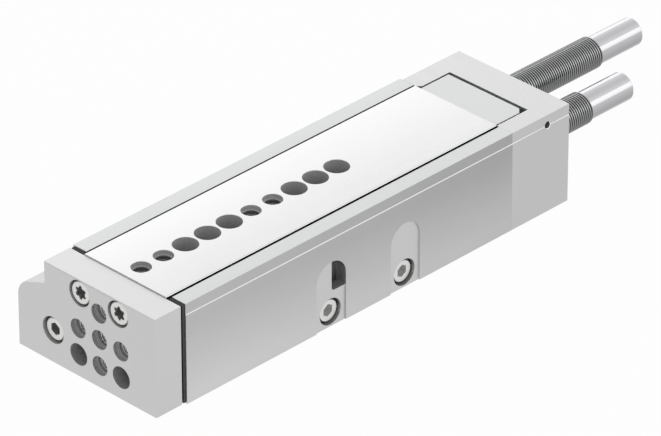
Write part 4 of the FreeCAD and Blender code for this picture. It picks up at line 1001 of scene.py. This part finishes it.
class SLIDE_OT_yoke(bpy.types.Operator):
    """Make the yoke plate with its recesses, threads and holes"""

    bl_idname = "slide.yoke"
    bl_label = "Yoke plate"

    def execute(self, context):
        sizes = context.scene.machining_sizes
        low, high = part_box("yoke_plate")
        piece = merged_copy("yoke_plate", "blasted_yoke_plate")
        piece = ease_edges(widen_bores(piece, "x", YOKE_THREADS), sizes.band_break)
        walls = "x", YOKE_THREADS + YOKE_BORES, YOKE_WALL
        in_thread = zone(bores=("x", YOKE_THREADS, THREAD_WALL),
                         x=(low.x + YOKE_RIM, high.x - THREAD_MOUTH))
        in_bore = either(zone(lambda normal: abs(normal.x) < SLIGHT, walls),
                         zone(bores=walls, x=(low.x + YOKE_RIM, high.x - YOKE_RIM)))
        on_top = zone(lambda normal: normal.z > FLAT, z=(high.z - YOKE_RIM, high.z + YOKE_RIM))
        # Painted light on the top, painted shade in the bores and behind the thread turns
        place(piece, "yoke_plate", "yoke_alu", "blasted_yoke", [
            ("thread_root", in_thread), ("yoke_bore", in_bore), ("ground_yoke", on_top)])
        turns = tapped_turns("yoke_thread_turns", "x", YOKE_THREADS, low.x,
                             high.x - sizes.tapped_start, "yoke_thread")
        place(turns, "yoke_plate", "yoke_alu")
        return {"FINISHED"}


class SLIDE_OT_carrier(bpy.types.Operator):
    """Make the matt rear carrier and the stop bar"""

    bl_idname = "slide.carrier"
    bl_label = "Rear carrier and stop bar"

    def execute(self, context):
        width = context.scene.machining_sizes.edge_break
        dressed("rear_carrier", "matt_rear_carrier", width, "matt_carrier", "carrier_alu")
        dressed("stop_bar", "milled_stop_bar", width, "bare_steel", "rail_steel")
        return {"FINISHED"}


class SLIDE_OT_rails(bpy.types.Operator):
    """Make the guide rails and give the cages their brass"""

    bl_idname = "slide.rails"
    bl_label = "Rails and cages"

    def execute(self, context):
        width = context.scene.machining_sizes.fine_break
        for side in ("right", "left"):
            dressed(f"guide_rail_{side}", f"ground_rail_{side}", width, "ground_rail", "rail_steel")
            finish_node(f"ball_cage_{side}", "cage_brass")
        return {"FINISHED"}


class SLIDE_OT_balls(bpy.types.Operator):
    """Set the balls in their two cages"""

    bl_idname = "slide.balls"
    bl_label = "Balls"

    def execute(self, context):
        sizes = context.scene.machining_sizes
        for side in ("right", "left"):
            low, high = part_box(f"guide_balls_{side}")
            radius = sizes.ball_diameter / 2
            spaces = round((high.x - low.x - sizes.ball_diameter) / sizes.ball_pitch)
            middle = (low + high) / 2
            points = [(low.x + radius + sizes.ball_pitch * number, middle.y, middle.z)
                      for number in range(spaces + 1)]
            ball = new_piece("ball")
            with skin_of(ball.data) as skin:
                bmesh.ops.create_icosphere(skin, subdivisions=4, radius=radius * BALL_SHARE)
            ball.data.shade_smooth()
            piece = repeated(f"polished_balls_{side}", ball, points, "ball_steel")
            place(piece, f"guide_balls_{side}", "ball_steel")
        return {"FINISHED"}


class SLIDE_OT_screws(bpy.types.Operator):
    """Make the screws of yoke, pockets, cap and carrier"""

    bl_idname = "slide.screws"
    bl_label = "Screws"

    def execute(self, context):
        sizes = context.scene.screw_sizes
        lobes = lobed_reach(sizes.lobe_core, sizes.lobe_round, sizes.lobe_circle)
        wide, narrow = hexagon_reach(sizes.large_socket), hexagon_reach(sizes.small_socket)
        deep, lip = sizes.large_depth, sizes.recess_easing * LIP_SHARE
        low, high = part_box("rod_screw")
        head, middle = high.y - low.y, (low + high) / 2
        # The last column is each socket's painted shade
        for node, name, axis, places, outline, wall in (
                ("rod_screw", "socket_rod_screw", "x", [middle[1:]], wide, "socket_wall"),
                ("yoke_screws", "lobed_yoke_screws", "x", YOKE_SCREWS, lobes, "socket_wall"),
                ("stop_screws", "socket_stop_screws", "y", STOP_SCREWS, wide, "open_socket")):
            foot, top = (corner["xyz".index(axis)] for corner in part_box(node))
            master = socket_screw(f"{node}_master", head, LARGE_SCREW, top - foot, outline, deep)
            if axis == "y":
                turned_to(master, math.pi / 2)
            piece = repeated(name, master, points_at(axis, top, places), "plated_screw")
            in_socket = zone(bores=(axis, places, SOCKET_WALL),
                             **{axis: (top - deep - lip, top - lip)})
            place(piece, node, "screw_steel", "plated_screw", [(wall, in_socket)])
        for node, name, places in (
                ("cap_screws", "socket_cap_screws.001", CAP_SCREWS),
                ("carrier_screws", "socket_carrier_screws.001", CARRIER_SCREWS)):
            low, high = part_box(node)
            master = socket_screw(f"{node}_master", SMALL_HEAD, SMALL_SCREW, high.x - low.x,
                                  narrow, sizes.small_depth)
            turned_to(master, math.pi)
            piece = repeated(name, master, points_at("x", low.x, places), "plated_screw")
            place(piece, node, "screw_steel")
        finish_node("front_cover_screws", "plated_screw")
        return {"FINISHED"}


class SLIDE_OT_absorbers(bpy.types.Operator):
    """Wind the absorbers' threads and make their sleeves, buffers, springs and lock nuts"""

    bl_idname = "slide.absorbers"
    bl_label = "Absorbers"

    def execute(self, context):
        sizes = context.scene.machining_sizes
        for name in ("retract", "advance"):
            self.barrel(name, sizes)
            for part, finish, slot_name in (("absorber_sleeve", "bright_sleeve", "sleeve_chrome"),
                                            ("buffer_rod", "chromed_rod", "rod_chrome"),
                                            ("lock_nut", "plated_screw", "screw_steel")):
                node = f"{name}_{part}"
                dressed(node, f"{finish}_{node}", sizes.fine_break, finish, slot_name)
            self.spring(name, sizes.buffer_travel)
        return {"FINISHED"}

    def spring(self, name, travel):
        """Copy of a spring's CAD node, shaded smooth and given its finish; travel is not used."""
        node = f"{name}_absorber_spring"
        piece = new_piece(f"coiled_{name}_spring", frame["nodes"][node].data.copy())
        piece.data.shade_smooth()
        place(piece, node, "spring_steel", "spring_wire")
        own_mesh(piece)

    def barrel(self, name, sizes):
        """Core of a barrel with a wound thread on it."""
        node = f"{name}_absorber_barrel"
        low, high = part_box(node)
        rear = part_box(f"{name}_absorber_sleeve")[1].x
        centre = Vector((0, (low.y + high.y) / 2, (low.z + high.z) / 2))
        crest = sizes.absorber_thread / 2
        root = crest - sizes.thread_depth
        core = merged_copy(node, f"{name}_core")
        for vertex in core.data.vertices:
            spoke = Vector((0, vertex.co.y - centre.y, vertex.co.z - centre.z))
            if spoke.length > root:
                spoke *= root / spoke.length
                vertex.co.y, vertex.co.z = centre.y + spoke.y, centre.z + spoke.z
        shade_turned(core)
        paint(core, "dark_thread")
        turns = ridge(f"{name}_ridge", "dark_thread", rear, high.x, sizes.absorber_pitch, root,
                      sizes.thread_depth * RIDGE_SHARE, sizes.thread_end, centre)

        # The crest keeps the thread's colour; the rest of the ridge gets painted shade
        def on_crest(points, normal):
            return all(math.hypot(point.y - centre.y, point.z - centre.z) > crest - CREST_BAND
                       for point in points)
        paint(turns, "thread_groove", [("dark_thread", on_crest)])
        place(join(f"threaded_{name}_barrel", [core, turns]), node, "thread_steel")


class SLIDE_OT_cylinder(bpy.types.Operator):
    """Give the cylinder's inner pieces their finishes"""

    bl_idname = "slide.cylinder"
    bl_label = "Cylinder"

    def execute(self, context):
        for finish, nodes in (("chromed_rod", "piston_rod"), ("turned_brass", "rod_gland"),
                              ("milled_cap", "piston cylinder_end_plug"),
                              ("magnet", "piston_magnet"),
                              ("seal_rubber", "rod_wiper rod_seal gland_o_ring plug_o_ring"),
                              ("seal_rubber", "piston_seals")):
            for node in nodes.split():
                finish_node(node, finish)
        return {"FINISHED"}


# The camera's bearing, height angle, tilt and distance, and where the picture's middle falls
CAMERA_BEARING = math.radians(45.089)
CAMERA_HEIGHT = math.radians(31.182)
CAMERA_TILT = math.radians(-0.235)
CAMERA_DISTANCE = 2.1006
CAMERA_TARGET = Vector((-0.05, 0.0, 0.01905))
FOCAL_PIXELS = 6330.4
CENTRE_SHIFT = (34.43, 19.26)
SENSOR = 36.0
NEAR, FAR = 0.05, 50.0

KEY_FOOT = 0.08  # height of the long lamp's lower edge
FLOOR_REACH = 6.0
FLOOR_GAP = 0.0001  # room between the object's underside and the floor
ZENITH_START = 0.6  # rise of a direction from which the sky gets darker


def lamp(name, power, size, centre, facing):
    """Rectangular area lamp of a width and height that faces a direction."""
    data = bpy.data.lights.new(name, "AREA")
    data.energy = power
    data.shape = "RECTANGLE"
    data.size, data.size_y = size
    item = bpy.data.objects.new(name, data)
    item.location = centre
    item.rotation_euler = Vector(facing).to_track_quat("-Z", "Y").to_euler()
    bpy.context.scene.collection.objects.link(item)


class SLIDE_OT_stage(bpy.types.Operator):
    """Set up the floor, the sky, the lamps and the camera"""

    bl_idname = "slide.stage"
    bl_label = "Stage"

    def execute(self, context):
        studio = context.scene.studio_settings
        self.floor(studio)
        self.sky(context.scene, studio)
        tall = studio.key_top - KEY_FOOT
        lamp("key_lamp", studio.key_power, (1.8, tall), (-0.75, -0.7, KEY_FOOT + tall / 2),
             (0, 1, 0))
        lamp("back_lamp", studio.back_power, (1.6, 0.6), (-0.9, 0.75, 0.42), (0, -1, 0))
        lamp("fill_lamp", studio.fill_power, (0.8, 0.8), (0.9, 1.0, 1.2), (-0.5, -0.55, -0.65))
        self.camera(context.scene)
        context.scene.view_settings.view_transform = "Standard"
        return {"FINISHED"}

    def floor(self, studio):
        """Pale plane under the housing."""
        piece = new_piece("floor")
        corners = [(x * FLOOR_REACH, y * FLOOR_REACH, cad_low.z - FLOOR_GAP)
                   for x, y in ((-1, -1), (1, -1), (1, 1), (-1, 1))]
        piece.data.from_pydata(corners, [], [(0, 1, 2, 3)])
        finish = Finish("pale_floor")
        seen = finish.background_rays()
        matt = finish.node("ShaderNodeBsdfDiffuse", inputs={"Color": (*studio.floor, 1)})
        glow = finish.node("ShaderNodeEmission", inputs={"Color": (1, 1, 1, 1), "Strength": 1.0})
        mixed = finish.node("ShaderNodeMixShader", inputs={
            0: seen * studio.floor_glow, 1: matt.outputs[0], 2: glow.outputs[0]})
        finish.close(mixed.outputs[0])
        piece.data.materials.append(finish.material)

    def sky(self, scene, studio):
        """White surroundings that light the object at a plain level."""
        world = scene.world or bpy.data.worlds.new("sky")
        scene.world = world
        sheet = Sheet(world, "ShaderNodeOutputWorld")
        direction = sheet.node("ShaderNodeTexCoord").outputs["Generated"]
        rise = sheet.node("ShaderNodeSeparateXYZ", inputs={0: direction}).outputs[2]
        overhead = sheet.node("ShaderNodeMapRange", {"interpolation_type": "SMOOTHSTEP"}, {
            "Value": rise, "From Min": ZENITH_START, "From Max": 1.0,
            "To Min": 1.0, "To Max": studio.zenith_level})
        seen = sheet.background_rays() * Level(sheet, overhead.outputs[0])
        level = seen.at_least(studio.sky_level)
        glow = sheet.node("ShaderNodeBackground", inputs={"Color": (1, 1, 1, 1), "Strength": level})
        sheet.close(glow.outputs[0])

    def camera(self, scene):
        """Camera at the photograph's viewing angle."""
        data = bpy.data.cameras.new("camera")
        data.sensor_width = SENSOR
        data.lens = FOCAL_PIXELS * SENSOR / IMAGE_WIDTH
        data.shift_x = CENTRE_SHIFT[0] / IMAGE_WIDTH
        data.shift_y = CENTRE_SHIFT[1] / IMAGE_WIDTH
        data.clip_start, data.clip_end = NEAR, FAR
        back = Vector((math.cos(CAMERA_HEIGHT) * math.cos(CAMERA_BEARING),
                       math.cos(CAMERA_HEIGHT) * math.sin(CAMERA_BEARING), math.sin(CAMERA_HEIGHT)))
        right = Vector((-math.sin(CAMERA_BEARING), math.cos(CAMERA_BEARING), 0))
        up = back.cross(right)
        across = right * math.cos(CAMERA_TILT) + up * math.sin(CAMERA_TILT)
        over = up * math.cos(CAMERA_TILT) - right * math.sin(CAMERA_TILT)
        matrix = Matrix((across, over, back)).transposed().to_4x4()
        matrix.translation = CAMERA_TARGET + back * CAMERA_DISTANCE
        item = bpy.data.objects.new("camera", data)
        item.matrix_world = matrix
        scene.collection.objects.link(item)
        scene.camera = item


OPERATORS = (SLIDE_OT_finishes, SLIDE_OT_housing, SLIDE_OT_cap, SLIDE_OT_cover, SLIDE_OT_table,
             SLIDE_OT_yoke, SLIDE_OT_carrier, SLIDE_OT_rails, SLIDE_OT_balls, SLIDE_OT_screws,
             SLIDE_OT_absorbers, SLIDE_OT_cylinder, SLIDE_OT_stage)


class SLIDE_PT_panel(bpy.types.Panel):
    """Buttons for the slide table's pieces"""

    bl_idname = "SLIDE_PT_panel"
    bl_label = "Slide Table"
    bl_space_type = "VIEW_3D"
    bl_region_type = "UI"
    bl_category = "Slide Table"

    def draw(self, context):
        for operator in OPERATORS:
            self.layout.operator(operator.bl_idname)
        for group in PROPERTY_GROUPS:
            box = self.layout.box()
            settings = getattr(context.scene, group)
            for name in settings.__annotations__:
                box.prop(settings, name)


PROPERTY_GROUPS = {"machining_sizes": MachiningSizes, "screw_sizes": ScrewSizes,
                   "metal_colours": MetalColours, "studio_settings": StudioSettings}


def register():
    """Register the classes and hang the settings on the scene."""
    for group in PROPERTY_GROUPS.values():
        bpy.utils.register_class(group)
    for name, group in PROPERTY_GROUPS.items():
        setattr(bpy.types.Scene, name, PointerProperty(type=group))
    for item in (*OPERATORS, SLIDE_PT_panel):
        bpy.utils.register_class(item)


def unregister():
    """Take the classes and settings away again."""
    for item in reversed((*OPERATORS, SLIDE_PT_panel)):
        bpy.utils.unregister_class(item)
    for name, group in PROPERTY_GROUPS.items():
        delattr(bpy.types.Scene, name)
        bpy.utils.unregister_class(group)


def main():
    """Make every piece in order."""
    register()
    for operator in OPERATORS:
        group, name = operator.bl_idname.split(".")
        getattr(getattr(bpy.ops, group), name)()
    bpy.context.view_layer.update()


if __name__ == "__main__":
    main()
